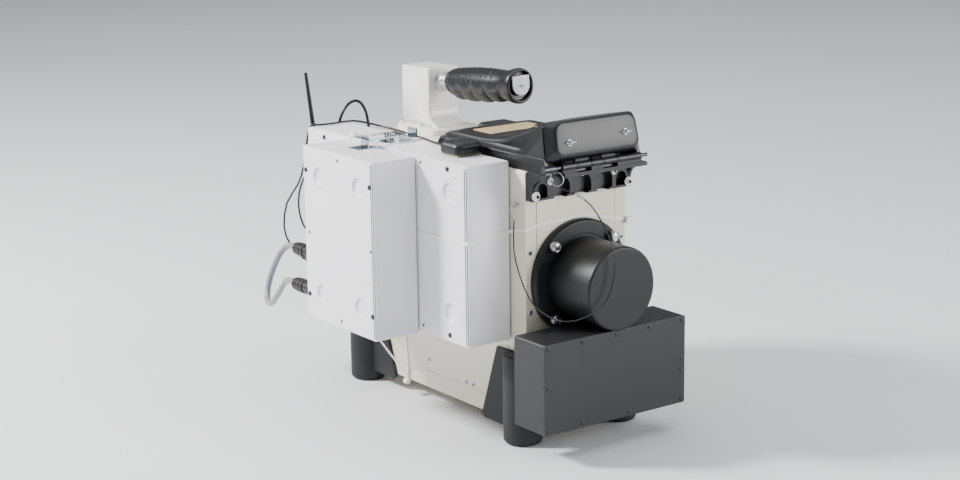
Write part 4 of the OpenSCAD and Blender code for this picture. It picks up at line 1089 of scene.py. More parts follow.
@dataclass
class Cables:
    """The grey cable with its plugs, the black leads and the panel sockets."""

    plug_r: float = 11.0
    upper: Point = (-146.0, 423.5, 190.0)
    lower: Point = (-208.0, 323.0, 166.0)
    receptacle: float = 12.0
    grey_d: float = 9.0

    def build(self) -> None:
        """Makes the plugs, then the cables, then the sockets and coupling rings."""
        plugs = self._plugs()
        Route("grey_cable_piece", [
            (-146, 491.5, 190), (-146, 501, 190), (-148, 511, 186), (-153, 521, 174), (-160, 528, 154),
            (-167, 531, 133), (-173, 528, 115), (-180, 514, 106), (-187, 490, 111), (-194, 465, 126),
            (-201, 438, 145), (-206, 417, 160), (-208, 402, 166), (-208, 391, 166),
        ], self.grey_d, GREY_JACKET, "medium", 3, "connector", "grey_cable", plugs).build()
        Route("arched_lead", [
            (-55, 417, 356), (-55, 417, 368), (-56, 418, 382), (-59, 419, 396), (-65, 421, 407),
            (-73, 424, 411), (-83, 428, 406), (-91, 431, 394), (-96, 432, 381), (-98, 432.5, 368),
            (-98, 432.5, 356),
        ], 4.5, BLACK_JACKET, "medium", 3).build()
        Route("puck_lead", [
            (-100, 132, 388), (-100, 138, 387.6), (-97, 152, 385), (-92, 195, 383.5), (-80, 240, 382),
            (-56, 300, 374.6), (-46, 350, 373.5), (-48, 395, 374.5), (-66, 408, 380), (-86, 413, 384.2),
            (-115, 413, 384), (-140, 415, 384), (-149, 424, 383), (-152, 430, 366), (-151, 446, 320),
            (-148, 468, 290), (-148, 503, 255), (-148, 514, 217), (-141, 510, 190), (-131, 488, 170),
            (-121, 452, 165), (-121, 441, 165),
        ], 3.0, BLACK_JACKET, "limp", 2).build()
        Route("whip_lead", [
            (-121, 441, 316), (-121, 451, 316), (-124, 465, 311), (-128, 484, 294), (-130, 497, 268),
            (-130, 498, 240), (-128, 486, 217), (-122, 464, 206), (-121, 451, 205), (-121, 441, 205),
        ], 3.0, BLACK_JACKET, "limp", 3).build()
        self._sockets()
        self._coupling_ring("upper_coupling_ring", self.upper, "ring_upper", "plug_ring_upper")
        self._coupling_ring("lower_coupling_ring", self.lower, "ring_lower", "plug_ring_lower")

    def _plugs(self) -> list[bpy.types.Object]:
        """Makes both plug bodies: stepped barrels with ribbed, tapering strain reliefs.

        Returns:
            The bodies and their cable glands.
        """
        shape = bmesh.new()
        r = self.plug_r
        ribs: list[Pair] = []
        for i in range(4):
            y = 32.4 + 3.4 * i
            wide = r - 0.8 - 0.35 * i
            ribs += [(wide, y), (wide, y + 2.0), (wide - 1.2, y + 2.4), (wide - 1.2, y + 3.0)]
        profile = [(0, 0.5), (8.5, 0.5), (8.5, 18), (r - 1.4, 18.4), (r - 0.8, 19), (r - 0.8, 24),
                   (r - 1.8, 24.6), (r - 1.8, 26), (r - 0.8, 26.6), (r - 0.8, 31.4), (r - 1.4, 32),
                   *ribs, (8.2, 46.4), (7.4, 47.4), (0, 47.4)]
        for x, y, z in (self.upper, self.lower):
            add_lathe(shape, profile, at((x, y + self.receptacle, z), (0, 1, 0)), 40)
        glands = bmesh.new()
        for x, y, z in (self.upper, self.lower):
            add_lathe(glands, [(0, 46.8), (6.6, 46.8), (6.9, 47.4), (6.9, 52), (6.2, 52.8), (5.6, 55.4), (5.0, 56),
                               (0, 56)], at((x, y + self.receptacle, z), (0, 1, 0)), 8)
        return [make_piece("plug_bodies", shape, CONNECTOR_NYLON, "case", ["cable_plugs"]),
                make_piece("plug_glands", glands, SATIN_ALUMINIUM, "case")]

    def _coupling_ring(self, name: str, place: Point, body: str, node: str) -> None:
        """Makes one knurled coupling ring on its own body.

        Args:
            name: the piece's name.
            place: the middle of its socket.
            body: the body that it moves with.
            node: the CAD node it stands for.
        """
        x, y, z = place
        turned = bmesh.new()
        r = self.plug_r - 0.7
        add_lathe(turned, [(9.08, 0.2), (r - 0.6, 0), (r, 0.6), (r, 15.2), (r - 0.6, 15.8), (9.08, 15.6)],
                  Matrix(), 48, ring=True)
        ridged(name, turned, at((x, y + 1.5, z), (0, 1, 0)), 22, r, (1.2, 1.5, 11.0), 8.0,
               CONNECTOR_NYLON, body, [node])

    def _sockets(self) -> None:
        """Makes the panel sockets, the two elbows and the whip's nut."""
        shape = bmesh.new()
        for x, y, z in (self.upper, self.lower):
            add_lathe(shape, [(0, 0), (9, 0), (9, 11.4), (8.4, 12), (0, 12)], at((x, y, z), (0, 1, 0)), 40)
            add_lathe(shape, [(0, 0), (12.5, 0), (12.5, 0.8), (12, 1.3), (0, 1.3)], at((x, y, z), (0, 1, 0)), 40)
        for x, y, reach in ((-98.0, 423.5, 9.0), (-55.0, 404.0, 13.0)):
            add_lathe(shape, [(0, 0), (6, 0), (6, 2.5), (4.2, 2.5), (4.2, reach), (0, reach)],
                      at((x, y, 346), (0, 1, 0)), 24)
            add_lathe(shape, [(0, -5), (3.6, -5), (4.2, -4.4), (4.2, 6), (3.7, 6.4), (3.7, 9.6), (3.3, 10),
                              (0, 10)], at((x, y + reach, 346)), 24)
        for z in (165.0, 205.0, 316.0):
            add_lathe(shape, [(0, 0), (5, 0), (5, 3), (3.4, 3), (3.4, 9), (3.9, 9), (3.9, 15), (3.2, 17.4),
                              (0, 17.4)], at((-121, 423.5, z), (0, 1, 0)), 24)
        add_lathe(shape, [(0, 0), (7, 0), (7, 2.1), (0, 2.1)], at((-136, 423.5, 339.5), (0, 1, 0)), 6)
        make_piece("panel_sockets", shape, CONNECTOR_NYLON, "case", ["panel_connectors"])


# ---------------------------------------------------------------- instrument case


@dataclass
class InstrumentCase:
    """The cream case: shell, plates, flush panels, bumpers and screws."""

    half_w: float = 85.0
    length: float = 404.0
    lift: float = 22.0
    bumper_r: float = 26.5
    bumper_h: float = 124.0
    bumper_in: float = 12.5
    column_x: float = 82.0
    wing_t: float = 5.0
    washer_r: float = 3.7

    def build(self) -> None:
        """Makes every outside piece of the case."""
        refine("case_shell", "shell", CREAM_COAT, edge=0.6)
        refine("front_plate", "front_face", CREAM_COAT, edge=0.5)
        refine("side_panels", "flush_panels", CREAM_COAT, edge=0.4)
        refine("rear_panel", "rear_face", CREAM_COAT, edge=0.0)
        self._bumpers("front_bumpers", self.bumper_in, 1.0, "bumpers_front")
        self._bumpers("rear_bumpers", self.length - self.bumper_in, -1.0, "bumpers_rear")
        self._screws()

    def _bumpers(self, name: str, y: float, way: float, node: str) -> None:
        """Makes the two corner bumpers of one end.

        Args:
            name: the piece's name.
            y: place of the columns along the case.
            way: 1 where the side wings run back from the front, -1 at the rear.
            node: the CAD node it stands for.
        """
        shape = bmesh.new()
        end = 0.0 if way > 0 else self.length
        r, h = self.bumper_r, self.bumper_h
        for side in (-1, 1):
            profile = [(0, 0), (r - 7, 0), (r - 4.2, 0.6), (r - 1.9, 2.0), (r - 0.5, 4.3), (r, 7.2),
                       (r, h - 2.4), (r - 0.7, h - 0.7), (r - 2.4, h), (0, h)]
            add_lathe(shape, profile, at((side * self.column_x, y, 0)), 64)
            wing = [(end + way * 8, 16), (end + way * 8, h), (end + way * 60, h), (end + way * 95.5, 22),
                    (end + way * 90, 16)]
            x0 = side * self.half_w
            x1 = x0 + side * self.wing_t
            add_prism(shape, wing, min(x0, x1), max(x0, x1))
        make_piece(name, shape, BUMPER_RUBBER, "case", [node], edge=1.2)

    def _screws(self) -> None:
        """Makes the screws of the front strips, the rear and the flush panels."""
        size = self.washer_r
        spots = []
        for side in (-1, 1):
            spots += [((side * 77.5, 0, z), (0, -1, 0), size) for z in (181, 262)]
            spots += [((side * 76, self.length, z), (0, 1, 0), size) for z in (150, 240, 340)]
            spots += [((side * self.half_w, y, z), (side, 0, 0), size)
                      for y, z in ((227, 65), (137, 54), (120, 54), (227, 305), (46, 305))]
        fittings("case_fasteners", cup_washer_head(), spots, BRUSHED_STEEL, "case", ["case_screws"])
        # Dark discs in the sockets: painted shade.
        fittings("case_sockets", socket_bore(), spots, SOCKET_PAINTED_SHADE, "case")


# ---------------------------------------------------------------- detector and neutron module


@dataclass
class Detector:
    """The round endcap on its flange, with four thumb screws."""

    axis: Pair = (2.0, 219.0)
    flange_r: float = 79.0
    flange_t: float = 10.0
    cap_r: float = 56.0
    cap_l: float = 82.0
    offset: float = 70 / math.sqrt(2)

    def build(self) -> None:
        """Makes the flange, the endcap and the thumb screws."""
        x, z = self.axis
        frontward = at((x, 0, z), (0, -1, 0))
        ring = bmesh.new()
        r, t = self.flange_r, self.flange_t
        add_lathe(ring, [(47, 0), (r, 0), (r, t - 3.4), (r - 0.3, t - 2.6), (r - 2.6, t - 0.3), (r - 3.4, t),
                         (60, t), (59, t - 0.7), (47, t - 0.7)], frontward, 160, ring=True)
        make_piece("flange_ring", ring, BLACK_ANODISED, "case", ["flange"], crease=30)
        cap = bmesh.new()
        arc = [(self.cap_r - 3.2 + 3.2 * math.cos(a), t + self.cap_l - 3.2 + 3.2 * math.sin(a))
               for a in (math.radians(15 * i) for i in range(7))]
        add_lathe(cap, [(0, t - 0.5), (self.cap_r, t - 0.5), *arc, (0, t + self.cap_l)], frontward, 160)
        make_piece("endcap_shell", cap, BLACK_ANODISED, "case", ["endcap"], crease=30)
        places = [(-1, 1), (1, 1), (-1, -1), (1, -1)]
        for number, (sx, sz) in enumerate(places, 1):
            self._thumb_screw(number, x + sx * self.offset, z + sz * self.offset)

    def _thumb_screw(self, number: int, x: float, z: float) -> None:
        """Makes one captive thumb screw with a knurled, domed head.

        Args:
            number: which of the four it is.
            x: its place across.
            z: its height.
        """
        head = bmesh.new()
        add_lathe(head, [(0, -14), (2.9, -14), (2.9, 0.1), (5.4, 0.1), (5.4, 1.4), (6.3, 1.8), (6.9, 2.4),
                         (6.9, 8.4), (6.5, 9.4), (5.7, 10.1), (5.3, 9.9), (4.9, 10.0), (4.4, 10.3), (4.0, 10.15),
                         (3.6, 10.25), (2.6, 10.5), (0, 10.6)], Matrix(), 48)
        ridged(f"thumb_head_{number}", head, at((x, -self.flange_t, z), (0, -1, 0)), 36, 6.7,
               (0.8, 0.6, 5.6), 5.4, BRUSHED_STEEL, f"thumb_{number}", [f"thumb_screw_{number}"])


@dataclass
class NeutronModule:
    """The charcoal box under the endcap."""

    half_w: float = 120.0
    front: float = -84.0
    low: float = 40.0
    high: float = 162.0
    edge: float = 6.0
    screw_r: float = 2.7

    def build(self) -> None:
        """Makes the box, its lid and the block behind it."""
        refine("neutron_box", "module_box", CHARCOAL_COAT, edge=0.6)
        refine("neutron_lid", "module_lid", CHARCOAL_COAT, edge=0.5)
        refine("neutron_spacer", "module_bracket", CHARCOAL_COAT, edge=0.5)

    def screw_spots(self) -> list[tuple[Point, Point, float]]:
        """Returns the places of the lid screws.

        Returns:
            The place, facing and size of each.
        """
        side, low, high = self.half_w - self.edge, self.low + self.edge, self.high - self.edge
        spots = [(i * side / 2, high) for i in range(-2, 3)]
        spots += [(-side, low), (-side / 2, low), (side * 0.2, low), (side, low)]
        spots += [(-side, low + 57), (side, low + 57), (side, low + 41)]
        return [((x, self.front, z), (0, -1, 0), self.screw_r) for x, z in spots]


# ---------------------------------------------------------------- side boxes


@dataclass
class SideBoxes:
    """The two white electronics boxes, their lids, screws, pads, ties and latch."""

    long_face: float = -154.5
    long_y: Pair = (31.5, 423.5)
    long_z: Pair = (138.5, 381.5)
    outer_face: float = -224.0
    outer_y: Pair = (147.0, 323.0)
    outer_z: Pair = (134.0, 378.0)
    large_screw_r: float = 3.6
    small_screw_r: float = 2.0

    def build(self, module: NeutronModule) -> None:
        """Makes the boxes and everything on them.

        Args:
            module: the neutron module, whose lid screws are made with the boxes'.
        """
        refine("long_box", "long_case", WHITE_COAT, edge=0.8)
        refine("long_lid", "long_cover", WHITE_COAT, edge=0.9, cutter=self._lid_cuts(
            self.long_face, self.long_y, self.long_z, [(y, z) for y in (73.5, 381.5) for z in (178.5, 341.5)]))
        refine("outer_box", "outer_case", WHITE_COAT, edge=0.8)
        refine("outer_lid", "outer_cover", WHITE_COAT, edge=0.9, cutter=self._lid_cuts(
            self.outer_face, self.outer_y, self.outer_z, [(y, z) for y in (186, 284) for z in (173, 339)]))
        self._seam_shade()
        refine("foam_pads", "foam_strips", TAN_FOAM, edge=0.3)
        self._screws(module)
        self._latch()
        refine("tie_horizontal", "level_tie", NATURAL_NYLON, edge=0.2)
        refine("tie_vertical", "upright_tie", NATURAL_NYLON, edge=0.2)

    def _seams(self, y0: float) -> list[Pair]:
        """Returns the two seams beside a lid's front edge, each from one y to another."""
        return [(y0 + 1.0, y0 + 3.4), (y0 + 5.2, y0 + 7.4)]

    def _lid_cuts(self, face: float, along: Pair, up: Pair, dishes: Sequence[Pair]) -> bmesh.types.BMesh:
        """Draws what is cut out of a lid: soft round dishes, and two seams along its front edge.

        Args:
            face: x of the lid's face.
            along: the lid's first and last y.
            up: its lowest and highest z.
            dishes: y and z of each dish.

        Returns:
            The cutter.
        """
        cutter = bmesh.new()
        for y, z in dishes:
            add_lathe(cutter, [(0, -3.2), (8.6, -3.2), (10.4, -2.9), (12.0, -1.9), (13.4, 0), (14.4, 1.4),
                               (0, 1.4)], at((face, y, z), (-1, 0, 0)), 64)
        for a, b in self._seams(along[0]):
            add_block(cutter, (face - 1, a, up[0] + 2), (face + 2.4, b, up[1] - 3), 0, 1)
        return cutter

    def _seam_shade(self) -> None:
        """Makes black strips set nearly flush in the seams: painted shade of the seam gaps."""
        shape = bmesh.new()
        for face, along, up in ((self.long_face, self.long_y, self.long_z),
                                (self.outer_face, self.outer_y, self.outer_z)):
            for a, b in self._seams(along[0]):
                add_block(shape, (face + 0.35, a, up[0] + 2), (face + 2.5, b, up[1] - 3), 0, 1)
        # Black rubber here is painted shade in the seams.
        make_piece("lid_gaskets", shape, BUMPER_RUBBER, "case")

    def _screws(self, module: NeutronModule) -> None:
        """Makes the lid screws.

        Args:
            module: the neutron module, whose screws are made with these.
        """
        y0, y1 = self.long_y
        z0, z1 = self.long_z
        left = (-1, 0, 0)
        large, small = self.large_screw_r, self.small_screw_r
        spots = [((self.long_face, y, z), left, large) for y in (y0 + 44, y1 - 44) for z in (z0 + 9, z1 - 9)]
        spots += [((self.long_face, y, z), left, small) for y in (y0 + 106, y1 - 106) for z in (z0 + 9, z1 - 9)]
        y0, y1 = self.outer_y
        z0, z1 = self.outer_z
        middle_y, tall = (y0 + y1) / 2, z1 - z0
        spots += [((self.outer_face, y, z), left, large) for y in (y0 + 9, y1 - 6) for z in (z0 + 33, z1 - 34)]
        spots += [((self.outer_face, y, z0 + tall * share), left, small)
                  for y, share in ((y0 + 10, 0.5), (y1 - 10, 0.5), (middle_y, 0.04), (middle_y, 0.96))]
        fittings("lid_fasteners", pan_head(), spots + module.screw_spots(), BLACK_OXIDE, "case",
                 ["lid_screws"])

    def _latch(self) -> None:
        """Makes the plated latch: plates, lever and bail."""
        refine("latch_plates", "latch_base_and_keeper", BRIGHT_ZINC, edge=0.35)
        refine("latch_lever", "latch_handle", BRIGHT_ZINC, body="lever", edge=0.35)
        dress("latch_bail", BRIGHT_ZINC)
        shape = bmesh.new()
        spring = []
        for i in range(161):
            a = math.tau * 10 * i / 160
            spring.append(Vector((-128 + 3.1 * math.cos(a), 236.5 + 19 * i / 160, 389 + 3.1 * math.sin(a))))
        add_tube(shape, spring, 0.55, 6)
        for x, y in ((-140, 234), (-140, 258), (-116, 233), (-116, 259)):
            add_lathe(shape, [(0, 0), (2.4, 0), (2.1, 0.9), (1.2, 1.5), (0, 1.7)], at((x, y, 382.6)), 16)
        make_piece("latch_spring_and_rivets", shape, BRIGHT_ZINC, "case")


# ---------------------------------------------------------------- hood


@dataclass
class Hood:
    """The black hood on the case top, its hinged front cover, pin, studs and bracket."""

    base_z: float = 371.0
    ledge_z: float = 391.0
    base_half: float = 80.0
    neck_half: float = 70.0
    lean: float = 12.0
    face_y: float = -38.0
    rear_y: float = 204.0
    pin: Pair = (-41.0, 379.5)
    rim_t: float = 5.0
    bay_depth: float = 22.0
    ridge: Sequence[Pair] = ((-40, 437.6), (-24, 437.2), (-12, 434.5), (10, 427.5), (40, 416.5), (67, 407.0),
                             (96, 401.5), (118, 399.5), (180, 398.8), (192, 397.0), (199, 393.5), (204, 387.0))

    def build(self) -> None:
        """Makes every piece of the hood."""
        self._shell()
        self._cover()
        refine("hood_bracket", "scalloped_bracket", BLACK_ABS, edge=0.7, cutter=self._gusset_cut())
        self._bracket_screws()
        for side, word in ((-1, "left"), (1, "right")):
            self._stud(side, word)
        refine("release_pin", "hinge_pin", BLACK_OXIDE, body="pin", edge=0.4)
        self._rings()
        self._panel_and_dome()
        self._lanyard()

    def _lean_frame(self) -> Matrix:
        """Returns the matrix of the leaning front face."""
        return Matrix.Translation((0, self.face_y, self.base_z)) @ Matrix.Rotation(
            math.radians(-self.lean), 4, "X")

    def _wall_x(self, y: float, z: float) -> float:
        """Returns the half width of the raised part: it flares like a bell towards the front.

        Args:
            y: place along the hood.
            z: height.

        Returns:
            The half width there.
        """
        start = 22 - (z - self.ledge_z) * 0.98
        flare = ease((start + 14 - y) / 30)
        return self.neck_half + (self.base_half - self.neck_half) * flare - 2.0 * flare * (
            (z - self.base_z) / 66)

    def _section(self, share: float) -> list[Vector]:
        """Draws one closed section across the hood.

        Args:
            share: 0 at the front face, 1 at the rear.

        Returns:
            The section's points in order.
        """
        slope = math.tan(math.radians(self.lean)) * (1 - share) ** 3
        y0 = self.face_y + (self.rear_y - self.face_y) * share
        top = blend_height(self.ridge, y0 + slope * 60)
        ledge = min(self.ledge_z, top - 3)
        half = self.base_half
        wall = self._wall_x(y0 + slope * 20, ledge)
        gap = max(half - wall, 0.0)
        lip = min(2.4, gap * 0.3 + 0.05)
        cove = min(6.0, gap * 0.5 + 0.05)
        points: list[Pair] = [(half, self.base_z), (half, self.base_z + 8), (half, ledge - lip),
                              (half - 0.3 * lip, ledge - 0.3 * lip), (half - lip, ledge)]
        points += [(wall + cove, ledge), (wall + cove * 0.3, ledge + min(cove * 0.3, top - ledge - 2.4))]
        shoulder = min(9.0, (top - ledge) * 0.6)
        low, high = ledge + min(cove, top - ledge - shoulder - 0.1), top - shoulder
        for i in range(8):
            z = low + (high - low) * i / 7
            points.append((self._wall_x(y0 + slope * (z - self.base_z), z), z))
        side_x = points[-1][0]
        for i in range(1, 6):
            a = math.radians(18 * i)
            points.append((side_x - shoulder * (1 - math.cos(a)), high + shoulder * math.sin(a)))
        flat = side_x - shoulder
        points += [(flat * f, top + 1.2 * (1 - f * f)) for f in (0.8, 0.55, 0.28)]
        right = [Vector((x, y0 + slope * (z - self.base_z), z)) for x, z in points]
        middle = Vector((0, y0 + slope * (top - self.base_z), top + 1.2))
        left = [Vector((-p.x, p.y, p.z)) for p in reversed(right)]
        return right + [middle] + left

    def _shell(self) -> None:
        """Makes the saddle-shaped shell, with an open bay behind its cover."""
        shape = bmesh.new()
        stations = 56
        shares = [(i / stations) ** 1.25 for i in range(stations + 1)]
        rows = add_loft(shape, [self._section(s) for s in shares], capped=False)
        shape.faces.new(list(reversed(rows[-1])))
        front = shape.faces.new(rows[0])
        bmesh.ops.recalc_face_normals(shape, faces=shape.faces)
        bmesh.ops.inset_region(shape, faces=[front], thickness=self.rim_t, depth=0.0)
        bay = bmesh.ops.extrude_discrete_faces(shape, faces=[front])["faces"][0]
        for vert in bay.verts:
            vert.co.y += self.bay_depth
        make_piece("hood_body", shape, BLACK_ABS, "case", ["hood_shell"], edge=0.0, crease=50)

    def _cover(self) -> None:
        """Makes the front cover: a deep-drawn pan with big soft corners, and its two hinge tabs."""
        shape = bmesh.new()
        turn = self._lean_frame()
        steps = 8
        rings = [(0.0, 13.0, 0.0, -0.4, 8.0), (0.0, 13.0, 0.0, -1.8, 8.0), (0.8, 13.5, 0.1, -2.8, 8.5),
                 (3.0, 15.0, 0.3, -6.2, 10.0), (5.2, 16.6, 0.6, -9.8, 11.5), (6.4, 17.7, 0.9, -12.0, 12.5),
                 (7.3, 18.7, 1.4, -13.3, 13.0), (8.5, 20.1, 2.1, -14.3, 13.0), (10.0, 21.7, 3.1, -14.9, 12.5),
                 (11.8, 23.5, 4.4, -15.2, 12.0), (20.0, 29.0, 10.0, -15.8, 9.0), (34.0, 36.0, 18.0, -16.1, 5.0)]
        loops = []
        for inset, low, drop, y, corner in rings:
            outline = rounded_outline(-78 + inset, 78 - inset, low + 1.5, 67.5 - drop, corner, steps, taper=3.0)
            loops.append([turn @ Vector((x, y, z)) for x, z in outline])
        add_loft(shape, loops)
        pin_y, pin_z = self.pin
        for x in (-33.5, 10.5):
            add_lathe(shape, [(0, 0), (4.5, 0), (5, 0.5), (5, 22.5), (4.5, 23), (0, 23)],
                      at((x, pin_y, pin_z), (1, 0, 0)), 32)
            add_block(shape, (x, pin_y + 1.5, pin_z), (x + 23, pin_y + 5.6, pin_z + 9.5), 0.6, 2)
        make_piece("cover_pan", shape, BLACK_ABS, "cover", ["hood_cover"], edge=0.0, crease=35)

    def _gusset_cut(self) -> bmesh.types.BMesh:
        """Draws what is cut from the bracket's end gussets, which leaves them hollow-curved.

        Returns:
            The cutter.
        """
        shelf, plate = -46.0, -12.6
        top, low = self.base_z - 5.0, self.base_z - 25.0
        curve = [(plate + (shelf - plate) * (1 - math.cos(a)) - 0.05, low + (top - low) * math.sin(a))
                 for a in (math.radians(9 * i) for i in range(11))]
        shape = bmesh.new()
        add_prism(shape, [(plate - 0.05, low - 20), *curve, (shelf - 20, top), (shelf - 20, low - 20)], -95, 95)
        return shape

    def _bracket_screws(self) -> None:
        """Makes the bracket's socket screws and the four on the handle base."""
        spots = [((x, -13.4, 340), (0, -1, 0), 6.2) for x in (-78, 78)]
        spots += [((x, -12.9, 357), (0, -1, 0), 4.8) for x in (-54, 54)]
        spots.append(((0, -12.9, 362), (0, -1, 0), 4.8))
        spots += [((12 + sx * 33, y, 380), (0, 0, 1), 5.0) for sx in (-1, 1) for y in (330, 378)]
        fittings("socket_fasteners", socket_head(), spots, WHITE_WASHER, "case", ["socket_screws"])
        # Dark plugs in the sockets: painted shade.
        fittings("bracket_sockets", socket_plug(), spots, SOCKET_PAINTED_SHADE, "case")

    def _stud(self, side: int, word: str) -> None:
        """Makes one ball-headed quarter-turn stud with its cross wire.

        Args:
            side: -1 on the left, 1 on the right.
            word: the side's name.
        """
        shape = bmesh.new()
        turn = self._lean_frame() @ at((side * 47, -15.2, 40 + side * 2), (0, -1, 0))
        ball = [(3.4 * math.cos(a), 3.9 + 3.4 * math.sin(a)) for a in (math.radians(-55 + 145 * i / 12)
                                                                      for i in range(12))]
        add_lathe(shape, [(0, -9), (1.9, -9), (1.9, 0.1), (4.2, 0.1), (4.2, 0.8), (3.8, 1.2), (1.95, 1.2), *ball,
                          (0, 7.3)], turn, 32)
        ends = [turn @ Vector((x, 0, 3.9)) for x in (-8.0, -4.0, 4.0, 8.0)]
        add_tube(shape, ends, 0.6, 10)
        make_piece(f"ball_stud_{word}", shape, BRUSHED_STEEL, f"stud_{word}", [f"stud_{word}"])

    def _ring(self, name: str, centre: Point, turn_z: float, body: str, node: str) -> None:
        """Makes one split ring, two turns of wire side by side.

        Args:
            name: the piece's name.
            centre: its middle.
            turn_z: its turn about the upright, in degrees.
            body: the body that it moves with.
            node: the CAD node it stands for.
        """
        shape = bmesh.new()
        turn = Matrix.Translation(centre) @ Matrix.Rotation(math.radians(turn_z), 4, "Z")
        count = 96
        path = []
        for i in range(count + 1):
            a = math.tau * 1.9 * i / count + 0.4
            off = 0.42 * (2 * i / count - 1)
            path.append(turn @ Vector((off, 9.0 * math.cos(a), 9.0 * math.sin(a))))
        add_tube(shape, path, 0.55, 10)
        make_piece(name, shape, BRUSHED_STEEL, body, [node])

    def _rings(self) -> None:
        """Makes the pull ring, the lanyard's ring and its eye."""
        pin_y, pin_z = self.pin
        self._ring("pull_ring", (-64.5, pin_y, pin_z - 14.1), 30, "ring", "pin_ring")
        self._ring("lanyard_ring", (-92, 15, 326 - 1.4 - 9), 0, "case", "anchor_ring")
        refine("anchor_eye", "lanyard_eye", BRUSHED_STEEL, edge=0.2)

    def _panel_and_dome(self) -> None:
        """Makes the bare tan panel and the low dome behind it."""
        shape = bmesh.new()
        add_block(shape, (-47.0, 123.0, 397.0), (47.0, 166.0, 400.7), 0.7, 2)
        make_piece("panel_film", shape, TAN_FILM, "case", ["display_panel"])
        dome = bmesh.new()
        add_block(dome, (29, 208, 371), (81, 265, 389.5), 8.0, 5)
        make_piece("low_dome", dome, BLACK_ABS, "case", ["dome"])

    def _lanyard(self) -> None:
        """Makes the wire lanyard and its crimped ferrule."""
        points = [(-61.5, -41.5, 354.4), (-54, -46, 350), (-41, -54, 343), (-28, -65, 330), (-23, -84, 307),
                  (-19, -100, 277), (-17, -101, 254), (-20, -101, 234), (-29, -100, 212), (-49, -98, 198),
                  (-74, -92, 190), (-89, -72, 188), (-97, -45, 197), (-102, -28, 212), (-102, -8, 240),
                  (-98, 8, 268), (-92, 15, 305)]
        shape = bmesh.new()
        route = smooth_route(points, 4)
        length = 14.0
        a, b = route[7], route[7] + (route[10] - route[7]).normalized() * length
        along = b - a
        for start, share in ((0.0, 0.3), (0.35, 0.3), (0.7, 0.3)):
            add_lathe(shape, [(0, 0), (1.6, 0), (1.9, 0.4), (1.9, share * length - 0.4),
                              (1.6, share * length), (0, share * length)],
                      at(a + along * start, tuple(along)), 16)
        ferrule = make_piece("lanyard_ferrule", shape, SATIN_ALUMINIUM, "case")
        Route("lanyard_wire", points, 1.8, BLACK_JACKET, "medium", 2, "fitting", "lanyard", [ferrule]).build()


# ---------------------------------------------------------------- handle


